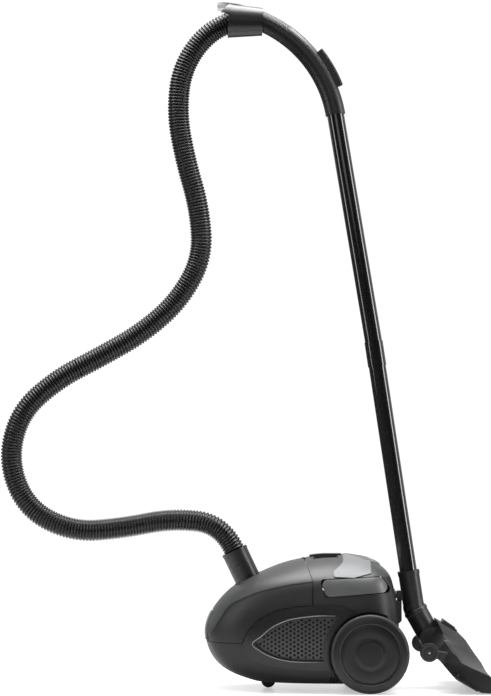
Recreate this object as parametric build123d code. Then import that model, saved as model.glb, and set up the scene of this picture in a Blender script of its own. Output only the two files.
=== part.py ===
from build123d import *
import math
import os

# A canister vacuum cleaner, parked: the wand stands on the hook rail behind the canister.
# Millimetres. +X points to the rear, -X to the nose, +Z up, and the floor is Z = 0.
# The part is symmetric about Y = 0, except for the motor and the cord reel inside.

# ---- canister form: overall sizes
body_nose_x = -256.5
body_rear_x = 97.5
body_half_width = 112.0
body_bottom_z = 15.0
body_top_z = 243.0
body_mid_x = -10.0
shell_wall = 2.5
side_start = 60.0
seam_gap = 0.8

# Each level of the form: its height, then its front reach, rear reach and half width
# as shares of the overall sizes.
form_levels = [
    (0.000, 0.655, 0.875, 0.78),
    (0.065, 0.820, 0.960, 0.88),
    (0.150, 0.925, 0.990, 0.94),
    (0.300, 0.995, 1.000, 0.99),
    (0.455, 0.995, 0.995, 1.00),
    (0.585, 0.940, 0.970, 0.985),
    (0.695, 0.855, 0.935, 0.945),
    (0.785, 0.745, 0.890, 0.88),
    (0.860, 0.605, 0.820, 0.75),
    (0.915, 0.485, 0.700, 0.60),
    (0.960, 0.350, 0.530, 0.44),
    (0.987, 0.230, 0.360, 0.29),
    (1.000, 0.120, 0.210, 0.17),
]
form_points = 28
nose_roundness = 2.3
rear_roundness = 3.4

# ---- seams, in the side view
nose_seam_z = 87.0
hood_seam_x = -62.7
hood_seam_top_x = -78.0
hood_seam_bend_z = 200.0
rear_seam_z = 150.0
side_recess = 0.8

# ---- big wheels
wheel_r = 70.5
wheel_x = 40.0
wheel_width = 30.0
wheel_stand_out = 16.0
arch_gap = 4.0
axle_r = 6.0
axle_fit = 0.05
axle_depth = 10.0
hub_cap_r = 23.0
dish_r = 56.0
tread_thickness = 3.0

# ---- side grilles and their raised trim
trim_rise = 2.5
trim_arch_gap = 7.0
grille_arch_gap = 13.5
grille_thickness = 2.0
grille_lap = 5.5
vent_hole_r = 2.3
vent_column_pitch = 6.8
vent_row_pitch = 7.85
vent_start_x = -164.0
vent_start_z = 44.0
vent_columns = 25
vent_rows = 13

# ---- lid, latch and intake
hinge_x = -77.0
hinge_z = 235.0
knuckle_r = 3.6
hinge_pin_r = 1.5
pin_fit = 0.06
latch_half_width = 20.0
latch_bottom_z = 89.0
latch_top_z = 141.0
cuff_base_x = -180.4
cuff_base_z = 200.0
cuff_lean = 25.5
cuff_length = 57.2
cuff_r = 23.8
cuff_bore_r = 15.5
spigot_r = 20.0
spigot_length = 24.0
socket_depth = 32.0
seal_thickness = 6.0
turn_fit = 0.06
button_half_width = 12.0
button_length = 25.0
button_start = 5.0
button_travel = 1.5
button_depth = 4.0
latch_swing_room = 2.5
latch_pivot_drop = 5.0
latch_pivot_depth = 15.5
window_x = -112.0
window_length = 15.0
window_width = 8.0
window_fit = 0.05
intake_wall = 4.0

# ---- controls and handle on the rear housing
pad_rise = 1.2
pad_gap = 1.3
pad_corner = 10.0
pad_hole_corner = 7.0
insert_x = 22.0
insert_ring_r = 44.0
insert_rise = 1.4
dial_r = 23.0
dial_height = 3.0
dial_tilt = 10.0
dial_floor_z = 238.0
dial_spindle_r = 4.0
handle_front_x = -66.0
handle_rear_x = -8.0
handle_half_width = 12.0
handle_rise = 3.0
well_front_x = -60.0
well_rear_x = -14.0
well_half_width = 34.0
well_depth = 30.0

# ---- inside the canister
bulkhead_x = -74.0
bulkhead_thickness = 3.0
lid_sweep_z = 150.0
lid_sweep_room = 2.0
motor_y = 34.0
motor_z = 96.0
motor_front_x = -44.0
motor_length = 96.0
motor_case_r = 46.0
motor_case_wall = 2.5
rotor_shaft_r = 4.0
reel_x = 22.0
reel_z = 92.0
reel_r = 58.0
reel_y = -52.0
reel_width = 40.0
reel_hub_r = 16.0
reel_spindle_r = 5.0
bag_front_x = -198.0
bag_rear_x = -84.0
bag_half_width = 62.0
bag_low_z = 50.0
bag_high_z = 140.0
bag_wall = 2.0
filter_half = 30.0
filter_rim = 8.0
screw_r = 1.8
screw_head_r = 3.6
screw_places = [(x, y) for x in (-60, 70) for y in (-62, 62)]

# ---- front castor
castor_x = -150.0
castor_wheel_r = 13.0
castor_trail = 8.0
castor_wheel_width = 14.0
castor_pocket_r = 27.0
castor_stem_r = 4.0
castor_pocket_z = 36.0

# ---- wand
tube_r = 16.0
tube_wall = 1.0
socket_step = 1.2
socket_length = 46.0
tube_length = 427.4
lower_lean = 8.5
upper_lean = 9.4
sleeve_lead = -0.5
sleeve_top_z = 214.2
sleeve_step = 3.3
tube_seat_depth = 40.0
seat_fit = 0.1
elbow_depth = 68.6
neck_angle = 29.0
ring_offset = 3.0
neck_step = 5.3
neck_bore_r = 14.0
neck_length = 60.0
grip_bend_r = 231.0
grip_turn = 57.0
grip_step = 2.5
grip_wall = 3.0
collar_length = 64.0
collar_mouth_r = 31.6
collar_neck_r = 25.7
collar_tilt = 2.0
visor_length = 26.0
visor_wall = 3.0
slider_start = 12.0
slider_end = 29.0
slider_rise = 9.5
slider_half_width = 11.0

# ---- parking hook and rail
rail_half_width = 16.0
rail_low_z = 118.0
rail_high_z = 159.0
rail_back_x = 103.0
tongue_thickness = 3.0
tongue_half_width = 8.5
tongue_length = 36.0
tongue_gap = 0.3
hook_height = 18.0
slot_gap = 0.1
cord_outlet_y = 58.0
cord_outlet_z = 166.0
cord_outlet_x = 83.0
cord_gland_r = 8.0
cord_bore_r = 3.6
gland_length = 9.0

# ---- floor nozzle, in its own frame: origin on the tilt axis, +X to the toe, sole level
nozzle_pitch = 30.0
nozzle_half_width = 128.0
sole_drop = 38.5
toe_bevel = 19.0
toe_face = 29.0
nozzle_wall = 2.5
nozzle_end_wall = 4.0
hump_margin = 21.0
tilt_up = 25.0
tilt_down = 25.0
tilt_pin_r = 5.0
small_wheel_r = 17.0
small_wheel_width = 10.0
small_wheel_inset = 28.0
small_wheel_z = -21.5
small_axle_r = 2.5
mouth_front_x = 98.0
mouth_rear_x = 80.0
brush_x = 105.0
brush_thickness = 3.6
brush_fit = 0.4
brush_drop = 4.0
brush_reach = 2.5
tuft_pitch = 8.0
nozzle_pedal_x = 18.5
nozzle_pedal_z = 31.5
nozzle_pedal_length = 31.0
nozzle_pedal_half_width = 20.0

# ---- hose
hose_r = 20.0
hose_wall = 2.0
hose_split_run = 8
hose_route = [
    (-205, 252), (-228, 300), (-320, 310), (-412, 292), (-503, 285), (-587, 327), (-623, 414),
    (-602, 505), (-533, 567), (-454, 608), (-375, 653), (-307, 713), (-263, 794), (-270, 886),
    (-295, 972), (-312, 1062), (-301, 1153), (-242, 1226), (-196, 1235),
]

# ---- derived places
body_height = body_top_z - body_bottom_z
wheel_inner_y = body_half_width + wheel_stand_out - wheel_width
arch_inner_y = wheel_inner_y - arch_gap
wheel_outer_y = wheel_inner_y + wheel_width
cut_reach = body_half_width + 40.0
floor_z = body_bottom_z + shell_wall
latch_pivot_z = latch_top_z - latch_pivot_drop
latch_x = body_nose_x + latch_pivot_depth
intake_outer_r = spigot_r + intake_wall
slot_front_x = body_rear_x + slot_gap
socket_r = tube_r + socket_step
sleeve_r = tube_r + sleeve_step
sleeve_top_x = body_rear_x + sleeve_r + sleeve_lead
grip_r = tube_r + grip_step
neck_r = tube_r + neck_step
neck_spigot_r = neck_bore_r + 2.0
barrel_r = neck_r - 0.3
barrel_half_width = neck_r + 1.7
hump_half_width = barrel_half_width + hump_margin
small_wheel_y = nozzle_half_width - small_wheel_inset
mouth_half_width = nozzle_half_width - 32.0
brush_half_width = nozzle_half_width - 16.0
seat_x, seat_z = hose_route[-1]
last_x, last_z = hose_route[-2]
seat_angle = math.degrees(math.atan2(seat_z - last_z, seat_x - last_x))


def tilted(x, z, lean):
    """A frame at (x, 0, z) whose own +Z leans to -X by this angle."""
    return Pos(x, 0, z) * Rot(0, -lean, 0)


def along(lean, distance):
    """The X and Z steps of this distance, upwards along a line that leans to -X."""
    return -math.sin(math.radians(lean)) * distance, math.cos(math.radians(lean)) * distance


dial_frame = Pos(insert_x, 0, dial_floor_z) * Rot(0, dial_tilt, 0)
cuff_frame = tilted(cuff_base_x, cuff_base_z, cuff_lean)
lower_frame = tilted(sleeve_top_x, sleeve_top_z, lower_lean)
step_x, step_z = along(lower_lean, tube_length)
middle_x, middle_z = sleeve_top_x + step_x, sleeve_top_z + step_z
upper_frame = tilted(middle_x, middle_z, upper_lean)
step_x, step_z = along(upper_lean, tube_length)
grip_x, grip_z = middle_x + step_x, middle_z + step_z
bend_x = grip_x - grip_bend_r * math.cos(math.radians(upper_lean))
bend_z = grip_z - grip_bend_r * math.sin(math.radians(upper_lean))
step_x, step_z = along(lower_lean, -elbow_depth)
elbow_x, elbow_z = sleeve_top_x + step_x, sleeve_top_z + step_z
step_x, step_z = along(neck_angle, -ring_offset)
ring_x, ring_z = elbow_x + step_x, elbow_z + step_z
neck_frame = Pos(ring_x, 0, ring_z) * Rot(0, 180 - neck_angle, 0)
step_x, step_z = along(neck_angle, -neck_length)
pivot_x, pivot_z = ring_x + step_x, ring_z + step_z
nozzle_frame = Pos(pivot_x, 0, pivot_z) * Rot(0, nozzle_pitch, 0)
pitch_sin, pitch_cos = math.sin(math.radians(nozzle_pitch)), math.cos(math.radians(nozzle_pitch))
toe_x = (pivot_z - sole_drop * pitch_cos) / pitch_sin


# ---- helpers
def prism(points, y_from, y_to, corner=0, shrink=0):
    """A side-view outline of (x, z) points, filled from y_from to y_to."""
    flat = make_face(Polyline(*points, close=True))
    if shrink:
        flat = offset(flat, -shrink, kind=Kind.INTERSECTION)
    if corner:
        flat = fillet(flat.vertices(), corner)
    return Pos(0, y_to, 0) * Rot(90, 0, 0) * extrude(flat, y_to - y_from)


def both_sides(points, y_from, y_to, corner=0):
    """The same outline, filled on both sides of the middle plane."""
    return prism(points, y_from, y_to, corner) + prism(points, -y_to, -y_from, corner)


def block(x0, x1, y0, y1, z0, z1):
    return Pos((x0 + x1) / 2, (y0 + y1) / 2, (z0 + z1) / 2) * Box(x1 - x0, y1 - y0, z1 - z0)


def rod_y(x, z, r, y0, y1):
    """A round bar along Y."""
    return Pos(x, (y0 + y1) / 2, z) * Rot(90, 0, 0) * Cylinder(r, y1 - y0)


def rod_x(y, z, r, x0, x1):
    return Pos((x0 + x1) / 2, y, z) * Rot(0, 90, 0) * Cylinder(r, x1 - x0)


def rod_z(x, y, r, z0, z1):
    return Pos(x, y, (z0 + z1) / 2) * Cylinder(r, z1 - z0)


def mirrored(solid):
    return mirror(solid, Plane.XZ)


def joined(solids):
    whole = solids[0]
    for solid in solids[1:]:
        whole = whole + solid
    return whole


def outline(z, front, rear, half):
    """One level of the canister form: two half superellipses that meet at the widest station."""
    points = []
    for step in range(form_points):
        turn = 2 * math.pi * (step + 0.5) / form_points
        c, s = math.cos(turn), math.sin(turn)
        power = 2 / (rear_roundness if c > 0 else nose_roundness)
        reach = rear - body_mid_x if c > 0 else body_mid_x - front
        points.append((
            body_mid_x + math.copysign(abs(c) ** power, c) * reach,
            math.copysign(abs(s) ** power, s) * half,
            z,
        ))
    return make_face(Spline(*points, periodic=True))


def body_form(offset):
    """The canister's outer form, grown outwards by the offset."""
    slices = []
    for height, front, rear, half in form_levels:
        z = body_bottom_z + height * body_height + offset * (2 * height - 1)
        front_x = body_mid_x + (body_nose_x - body_mid_x) * front - offset
        rear_x = body_mid_x + (body_rear_x - body_mid_x) * rear + offset
        slices.append(outline(z, front_x, rear_x, body_half_width * half + offset))
    return loft(slices)


def layer(high, low):
    """The skin between two offsets of the form."""
    return body_form(high) - body_form(low)


# ---- side-view outlines on the canister
trim_crest = [
    (-189.5, 86), (-181, 107.5), (-161, 129.5), (-130, 146.5), (-93, 154), (-62, 156),
]
trim_outline = trim_crest + [
    (-11, 156), (9, 148.5), (30, 138), (30, 33), (-38.5, 40), (-79.5, 40.5), (-113, 43),
    (-141, 48), (-168, 55), (-185, 69),
]
grille_outline = [
    (-169.5, 87), (-154, 100.5), (-133.5, 117.5), (-106.5, 129.5), (-72.5, 135.5), (-45, 137.5),
    (0, 136), (0, 57), (-79.5, 57), (-106.5, 58.5), (-130.5, 63.5), (-150.5, 72.5),
]
hood_outline = [(-330, nose_seam_z), (-191, nose_seam_z)] + [
    (x - 0.7, z + seam_gap) for x, z in trim_crest[1:-1]
] + [
    (hood_seam_x - 1, 157), (hood_seam_x, hood_seam_bend_z), (hood_seam_top_x, 240),
    (hood_seam_top_x, 330), (-330, 330),
]
hood_hole = [(-330, nose_seam_z - seam_gap), (-190, nose_seam_z - seam_gap)] + [
    (x, z) for x, z in trim_crest[1:-1]
] + [
    (hood_seam_x + seam_gap, 156.2), (hood_seam_x + seam_gap, hood_seam_bend_z),
    (hood_seam_top_x + seam_gap, 240.5), (hood_seam_top_x + seam_gap, 330), (-330, 330),
]
crease_line = [(-270, 92), (-244, 108), (-212, 155), (-163, 179), (-108, 193), (-40, 202)]
side_panel = crease_line + [(-40, 60), (-270, 60)]
insert_outline = [
    (-6, 300), (-6, 233), (-15, 224), (-24, 217), (-24, 207.5), (12, 206), (44, 214), (70, 234),
    (70, 300),
]
pad_outline = [(-49, 202), (62, 207), (82.5, 181), (-38.6, 172)]
pad_hole = [
    (-49 - pad_gap, 202 + pad_gap), (62.5, 207 + pad_gap), (82.5 + 1.5 * pad_gap, 181 - 1.1 * pad_gap),
    (-38.6 - pad_gap, 172 - pad_gap),
]


def wheel_disc(gap, y_from, y_to):
    """The space round both big wheels, grown by this gap."""
    near = rod_y(wheel_x, wheel_r, wheel_r + gap, y_from, y_to)
    return near + mirrored(near)


def grille_opening(corner=5):
    return both_sides(grille_outline, side_start, cut_reach, corner) - wheel_disc(
        grille_arch_gap, side_start, cut_reach
    )


# ---- canister shells
def make_lower_housing():
    outer, inner = body_form(0), body_form(-shell_wall)
    hood_side = prism(hood_hole, -cut_reach, cut_reach)
    rear_side = block(hood_seam_x - 20, 150, -cut_reach, cut_reach, rear_seam_z, 300)
    tub = outer - inner - hood_side - rear_side
    liner = wheel_disc(arch_gap + shell_wall, arch_inner_y - shell_wall, wheel_outer_y) & outer
    tub = tub + (liner - rear_side)
    tub = tub - wheel_disc(arch_gap, arch_inner_y, wheel_outer_y + 5)
    pocket_outer = rod_z(castor_x, 0, castor_pocket_r + shell_wall, body_bottom_z, castor_pocket_z)
    tub = tub + (pocket_outer & outer)
    tub = tub - rod_z(castor_x, 0, castor_pocket_r, body_bottom_z - 5, castor_pocket_z - shell_wall)
    boss = rod_z(castor_x, 0, castor_stem_r + 4, castor_pocket_z - shell_wall, castor_pocket_z + 12)
    tub = tub + boss - rod_z(castor_x, 0, castor_stem_r + pin_fit, 0, castor_pocket_z + 9)
    for side in (1, -1):
        axle_boss = rod_y(wheel_x, wheel_r, axle_r + 5, arch_inner_y - axle_depth - 2, arch_inner_y)
        axle_hole = rod_y(wheel_x, wheel_r, axle_r, arch_inner_y - axle_depth, arch_inner_y + 1)
        if side < 0:
            axle_boss, axle_hole = mirrored(axle_boss), mirrored(axle_hole)
        tub = tub + axle_boss - axle_hole
    tub = tub - grille_opening()
    for x, y in screw_places:
        tub = tub + rod_z(x, y, 5, body_bottom_z + 1, body_bottom_z + 13)
        tub = tub - rod_z(x, y, screw_r, body_bottom_z - 5, body_bottom_z + 12)
        tub = tub - rod_z(x, y, screw_head_r + 0.4, body_bottom_z - 5, body_bottom_z + 1)
    for step in range(5):
        x = -30 + step * 5
        tub = tub - both_sides([(x, 16), (x + 2.2, 16), (x + 2.2, 28), (x, 28)], side_start + 10, cut_reach)
    return tub


def make_rear_housing():
    shell = body_form(0) - body_form(-shell_wall) - prism(hood_hole, -cut_reach, cut_reach)
    shell = shell & block(hood_seam_x - 20, 150, -cut_reach, cut_reach, rear_seam_z, 300)
    shell = shell - wheel_disc(arch_gap, arch_inner_y, wheel_outer_y + 5)
    shell = shell - both_sides(pad_hole, side_start - 5, cut_reach, pad_hole_corner)
    shell = shell - rod_y(hinge_x, hinge_z, 5.0, -26, 26)
    for y0, y1 in ((9, 17), (-17, -9)):
        arm = block(hinge_x, hinge_x + 16, y0, y1, hinge_z - 3.4, hinge_z + 10) & body_form(-0.5)
        shell = shell + rod_y(hinge_x, hinge_z, knuckle_r, y0, y1) + arm
    shell = shell - rod_y(hinge_x, hinge_z, hinge_pin_r, -17, 17)
    shell = shell - well_block(0)
    shell = shell - dial_frame * Pos(0, 0, 28) * Cylinder(dial_r + 2.05, 60.1)
    outlet = rod_x(cord_outlet_y, cord_outlet_z, cord_gland_r, 60, 120)
    return shell - outlet


def well_block(grow):
    return block(
        well_front_x - grow, well_rear_x + grow, -well_half_width - grow, well_half_width + grow,
        body_top_z - well_depth - grow, body_top_z + 10,
    )


def make_handle_well():
    seat = 0.05
    body = fillet(well_block(-seat).edges().filter_by(Axis.Z), 8)
    hollow = block(
        well_front_x + 2, well_rear_x - 2, -well_half_width + 2, well_half_width - 2,
        body_top_z - well_depth + 2, body_top_z + 20,
    )
    return (body & body_form(0)) - fillet(hollow.edges().filter_by(Axis.Z), 6)


def make_carry_handle():
    bridge = layer(handle_rise, -8) & block(
        well_front_x + 2.5, well_rear_x - 2.5, -handle_half_width, handle_half_width, 180, 300
    )
    ends = layer(handle_rise, 0.05) & block(
        handle_front_x, handle_rear_x, -handle_half_width, handle_half_width, 180, 300
    )
    return bridge + ends


def make_front_hood():
    shell = (body_form(0) - body_form(-shell_wall)) & prism(hood_outline, -cut_reach, cut_reach)
    shell = shell - (layer(5, -side_recess) & both_sides(side_panel, latch_half_width + 5, cut_reach))
    fairing = cuff_frame * Pos(0, 0, -15) * Cone(42, cuff_r + 2.5, 30)
    shell = shell + (fairing - body_form(-shell_wall))
    shell = shell - cuff_frame * Pos(0, 0, 40) * Cylinder(cuff_r + 3, 80)
    shell = shell - cuff_frame * Pos(0, 0, -40) * Cylinder(intake_outer_r, 90)
    shell = shell - window_plug(0)
    shell = shell - latch_window(0.7) - Pos(0, 0, latch_swing_room) * latch_window(0.7)
    for y0, y1 in ((20.9, 27), (-27, -20.9)):
        shell = shell + rod_y(latch_x, latch_pivot_z, 4, y0, y1)
        shell = shell - rod_y(latch_x, latch_pivot_z, hinge_pin_r + pin_fit, -26, 26)
    for y0, y1 in ((8.6, 17.4), (-17.4, -8.6)):
        shell = shell - rod_y(hinge_x, hinge_z, knuckle_r + 0.8, y0, y1)
    arm = block(hinge_x - 16, hinge_x, -8.2, 8.2, hinge_z - 3.4, hinge_z + 5) & body_form(-0.5)
    shell = shell + rod_y(hinge_x, hinge_z, knuckle_r, -8.2, 8.2) + arm
    return shell - rod_y(hinge_x, hinge_z, hinge_pin_r + pin_fit, -10, 10)


# ---- latch, intake and window on the lid
def latch_window(grow):
    return block(
        body_nose_x - 20, body_nose_x + 40, -latch_half_width - grow, latch_half_width + grow,
        latch_bottom_z - grow, latch_top_z + grow,
    )


def window_plug(fit):
    return Pos(window_x, 0, 220) * extrude(Ellipse(window_length - fit, window_width - fit), 60)


def make_lid_latch():
    plate = layer(1.5, -shell_wall) & latch_window(0)
    bar = rod_y(latch_x, latch_pivot_z, 3, -latch_half_width, latch_half_width)
    web = block(body_nose_x + 7, latch_x, -8, 8, latch_pivot_z - 2, latch_pivot_z + 2)
    pins = rod_y(latch_x, latch_pivot_z, hinge_pin_r, -25.5, 25.5)
    return plate + bar + web + pins


def make_intake_socket():
    length = socket_depth
    tube = Pos(0, 0, -0.3 - length / 2) * Cylinder(intake_outer_r, length)
    flange = Pos(0, 0, -25) * Cylinder(29, 3)
    body = tube + flange - Cylinder(spigot_r + turn_fit, 2 * spigot_length + 2)
    return cuff_frame * (body - Pos(0, 0, -30) * Cylinder(18, 60))


def make_intake_seal():
    depth = socket_depth + 0.5 + seal_thickness / 2
    ring = Pos(0, 0, -depth) * (Cylinder(30, seal_thickness) - Cylinder(17, seal_thickness))
    return cuff_frame * ring


def make_indicator_window():
    return window_plug(window_fit) & layer(0.3, -shell_wall)


# ---- hose cuff
def make_hose_cuff():
    body = Pos(0, 0, 0.5) * Cylinder(cuff_r, cuff_length - 0.5, align=(Align.CENTER, Align.CENTER, Align.MIN))
    top_rim = Pos(0, 0, cuff_length - 5) * Cylinder(
        cuff_r + 0.8, 4, align=(Align.CENTER, Align.CENTER, Align.MIN)
    )
    spigot = Pos(0, 0, -spigot_length) * Cylinder(
        spigot_r, spigot_length + 1, align=(Align.CENTER, Align.CENTER, Align.MIN)
    )
    whole = body + top_rim + spigot - Cylinder(cuff_bore_r, 200)
    pocket = block(
        -button_half_width - 0.4, button_half_width + 0.4, -60,
        button_depth + button_travel + 0.3 - cuff_r,
        button_start - 0.4, button_start + button_length + 0.4,
    )
    return cuff_frame * (whole - pocket - mirrored(pocket))


def make_cuff_button():
    shape = Cylinder(cuff_r + 1.2, 200) & block(
        -button_half_width, button_half_width, -60, button_depth - cuff_r,
        button_start, button_start + button_length,
    )
    return cuff_frame * shape


# ---- trims, grilles and filters
def make_grille_trims():
    ring = both_sides(trim_outline, side_start, cut_reach, 6)
    ring = ring - wheel_disc(trim_arch_gap, side_start, cut_reach)
    ring = ring - grille_opening()
    return layer(trim_rise, 0.05) & ring


def make_grille():
    near = prism(grille_outline, -cut_reach, -side_start, 5, -grille_lap)
    near = near - rod_y(wheel_x, wheel_r, wheel_r + arch_gap + 5, -cut_reach, -side_start)
    panel = layer(-shell_wall - 0.05, -shell_wall - grille_thickness) & near
    holes = []
    for column in range(vent_columns):
        x = vent_start_x + column * vent_column_pitch
        shift = vent_row_pitch / 2 if column % 2 else 0
        for row in range(vent_rows):
            z = vent_start_z + shift + row * vent_row_pitch
            if in_grille(x, z):
                holes.append(rod_y(x, z, vent_hole_r, -cut_reach, -side_start))
    return panel - holes


def in_grille(x, z):
    """Whether a hole and its rim lie inside the grille opening."""
    margin = vent_hole_r + 1.0
    corners = grille_outline
    for (x0, z0), (x1, z1) in zip(corners, corners[1:] + corners[:1]):
        length = math.hypot(x1 - x0, z1 - z0)
        distance = ((x1 - x0) * (z - z0) - (z1 - z0) * (x - x0)) / length
        if distance > -margin:
            return False
    return math.hypot(x - wheel_x, z - wheel_r) > wheel_r + grille_arch_gap + margin


def make_exhaust_filters():
    back = -shell_wall - grille_thickness
    return layer(back - 0.3, back - 9) & grille_opening()


# ---- rear housing controls
def make_pad():
    near = prism(pad_outline, -cut_reach, -side_start, pad_corner)
    return layer(pad_rise, -shell_wall) & near


def make_top_insert():
    """A bright saddle over the top, with the cup that the dial turns in."""
    plan = rod_z(insert_x, 0, insert_ring_r, 150, 300)
    plan = plan + block(insert_x - 50, insert_x + 22, -cut_reach, cut_reach, 150, 300)
    skin = layer(insert_rise, 0.05) & plan & prism(insert_outline, -cut_reach, cut_reach, 4)
    skin = skin - dial_frame * Pos(0, 0, 20) * Cylinder(dial_r + 2, 60)
    cup = ring_up(dial_r + 2, dial_r + 0.8, -2, 2.5) + ring_up(dial_r + 2, dial_spindle_r + pin_fit, -2, -0.5)
    return skin + dial_frame * cup


def make_power_dial():
    disc = Cylinder(dial_r, dial_height, align=(Align.CENTER, Align.CENTER, Align.MIN))
    disc = fillet(disc.edges().group_by(Axis.Z)[-1], 1)
    grip_bar = Pos(0, 0, dial_height) * Box(2 * dial_r - 8, 6, 3)
    stem = Pos(0, 0, -16) * Cylinder(dial_spindle_r, 16, align=(Align.CENTER, Align.CENTER, Align.MIN))
    return dial_frame * (disc + grip_bar + stem)


def make_speed_board():
    board = Pos(0, 0, -15.5) * Box(40, 34, 1.6)
    pot = Pos(0, 0, -8.5) * Cylinder(9, 12.4)
    return dial_frame * (board + pot - Cylinder(dial_spindle_r + pin_fit, 60))


# ---- dust path inside the canister
def make_bulkhead():
    back_x = bulkhead_x + bulkhead_thickness
    wall = body_form(-shell_wall - 0.3) & block(bulkhead_x, back_x, -cut_reach, cut_reach, 0, lid_sweep_z)
    upper = body_form(-shell_wall - lid_sweep_room) & block(
        bulkhead_x, back_x, -cut_reach, cut_reach, lid_sweep_z, 205
    )
    wall = wall + upper
    side_depth = shell_wall + grille_thickness + 9.6
    low = min(z for x, z in grille_outline) - grille_lap - 2
    high = max(z for x, z in grille_outline) + grille_lap + 2
    side = layer(0, -side_depth) & block(bulkhead_x - 5, bulkhead_x + 10, -cut_reach, cut_reach, low, high)
    return wall - side - rod_x(motor_y, motor_z, 26, bulkhead_x - 5, bulkhead_x + 10)


def make_motor_filter():
    frame = block(
        bulkhead_x - 6.3, bulkhead_x - 0.3, motor_y - filter_half - filter_rim,
        motor_y + filter_half + filter_rim, motor_z - filter_half - filter_rim,
        motor_z + filter_half + filter_rim,
    )
    return fillet(frame.edges().filter_by(Axis.X), 6)


def make_dust_bag():
    body = block(bag_front_x, bag_rear_x, -bag_half_width, bag_half_width, bag_low_z, bag_high_z)
    body = fillet(body.edges(), 22)
    hollow = block(
        bag_front_x + bag_wall, bag_rear_x - bag_wall, -bag_half_width + bag_wall,
        bag_half_width - bag_wall, bag_low_z + bag_wall, bag_high_z - bag_wall,
    )
    hollow = fillet(hollow.edges(), 20)
    mouth = cuff_frame * Pos(0, 0, -60) * Cylinder(17, 70)
    return body - hollow - mouth


def make_bag_collar():
    top = socket_depth + 1 + seal_thickness
    plate = Pos(0, 0, -top - 1.5) * Box(64, 80, 3)
    neck = Pos(0, 0, -top - 19) * Cylinder(16.8, 36)
    collar = plate + neck - Pos(0, 0, -50) * Cylinder(14.5, 80)
    return cuff_frame * collar


# ---- motor and cord reel
def make_motor_case():
    x1 = motor_front_x + motor_length
    can = rod_x(motor_y, motor_z, motor_case_r, motor_front_x, x1)
    hollow = rod_x(
        motor_y, motor_z, motor_case_r - motor_case_wall,
        motor_front_x + motor_case_wall, x1 - motor_case_wall,
    )
    snout = rod_x(motor_y, motor_z, 28, bulkhead_x + bulkhead_thickness, motor_front_x + 1)
    body = can + snout - hollow
    body = body - rod_x(motor_y, motor_z, 24, bulkhead_x, motor_front_x + 5)
    body = body - rod_x(motor_y, motor_z, rotor_shaft_r + 4, x1 - 5, x1 + 5)
    for side in (-1, 1):
        y = motor_y + side * 26
        body = body + block(motor_front_x + 20, x1 - 20, y - 4, y + 4, floor_z, motor_z - 38.5)
    for step in range(8):
        angle = step * 45 + 22.5
        slot = Pos(x1 - 26, motor_y, motor_z) * Rot(angle, 0, 0) * Pos(0, 0, motor_case_r) * Box(26, 9, 12)
        body = body - slot
    return body


def make_motor_stator():
    x0 = motor_front_x + 34
    core = rod_x(motor_y, motor_z, motor_case_r - motor_case_wall - 0.3, x0, x0 + 34)
    core = core - rod_x(motor_y, motor_z, 22.5, x0 - 5, x0 + 40)
    return core - block(x0 - 5, x0 + 40, motor_y - 9, motor_y + 9, motor_z + 20, motor_z + 60) - block(
        x0 - 5, x0 + 40, motor_y - 9, motor_y + 9, motor_z - 60, motor_z - 20
    )


def make_motor_bearings():
    x1 = motor_front_x + motor_length
    rear = rod_x(motor_y, motor_z, rotor_shaft_r + 4, x1 - 7, x1)
    plate_r = motor_case_r - motor_case_wall - 0.3
    plate = rod_x(motor_y, motor_z, plate_r, motor_front_x + 24, motor_front_x + 27)
    for step in range(6):
        hole = Pos(motor_front_x + 25, motor_y, motor_z) * Rot(step * 60, 0, 0)
        plate = plate - hole * Pos(0, 0, 27) * Rot(0, 90, 0) * Cylinder(8, 10)
    return rear + plate - rod_x(motor_y, motor_z, rotor_shaft_r + turn_fit, motor_front_x, x1 + 5)


def make_motor_rotor():
    x1 = motor_front_x + motor_length
    shaft = rod_x(motor_y, motor_z, rotor_shaft_r, motor_front_x + 6, x1 - 0.5)
    return shaft + rod_x(motor_y, motor_z, 21.5, motor_front_x + 33, motor_front_x + 69) + rod_x(
        motor_y, motor_z, 11, motor_front_x + 72, motor_front_x + 84
    )


def make_motor_fan():
    x0 = motor_front_x + 8
    disc = rod_x(motor_y, motor_z, 40, x0 + 10, x0 + 12) + rod_x(motor_y, motor_z, 10, x0, x0 + 12)
    shroud = rod_x(motor_y, motor_z, 40, x0, x0 + 1.6) - rod_x(motor_y, motor_z, 20, x0 - 2, x0 + 4)
    blades = []
    for step in range(7):
        turned = Pos(x0, motor_y, motor_z) * Rot(step * 360 / 7, 0, 0) * Pos(5.8, 0, 25) * Rot(24, 0, 0)
        blades.append(turned * Box(9.4, 2, 26))
    return joined([disc, shroud] + blades) - rod_x(motor_y, motor_z, rotor_shaft_r, x0 - 5, x0 + 30)


def make_cord_reel():
    half = reel_width / 2
    hub = rod_y(reel_x, reel_z, reel_hub_r, reel_y - half, reel_y + half)
    near = rod_y(reel_x, reel_z, reel_r, reel_y - half, reel_y - half + 2)
    far = rod_y(reel_x, reel_z, reel_r, reel_y + half - 2, reel_y + half)
    return hub + near + far - rod_y(reel_x, reel_z, reel_spindle_r + turn_fit, -150, 0)


def make_wound_cord():
    half = reel_width / 2 - 2.0
    coil = rod_y(reel_x, reel_z, reel_r - 9, reel_y - half, reel_y + half)
    return coil - rod_y(reel_x, reel_z, reel_hub_r, -150, 0)


def make_reel_bracket():
    half = reel_width / 2
    plate = block(reel_x - 30, reel_x + 30, reel_y + half + 3, reel_y + half + 6, floor_z, reel_z + 22)
    spindle = rod_y(reel_x, reel_z, reel_spindle_r, reel_y - half - 1.5, reel_y + half + 4)
    foot = block(reel_x - 30, reel_x + 30, reel_y + half - 12, reel_y + half + 6, floor_z, floor_z + 3)
    return plate + spindle + foot


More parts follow.
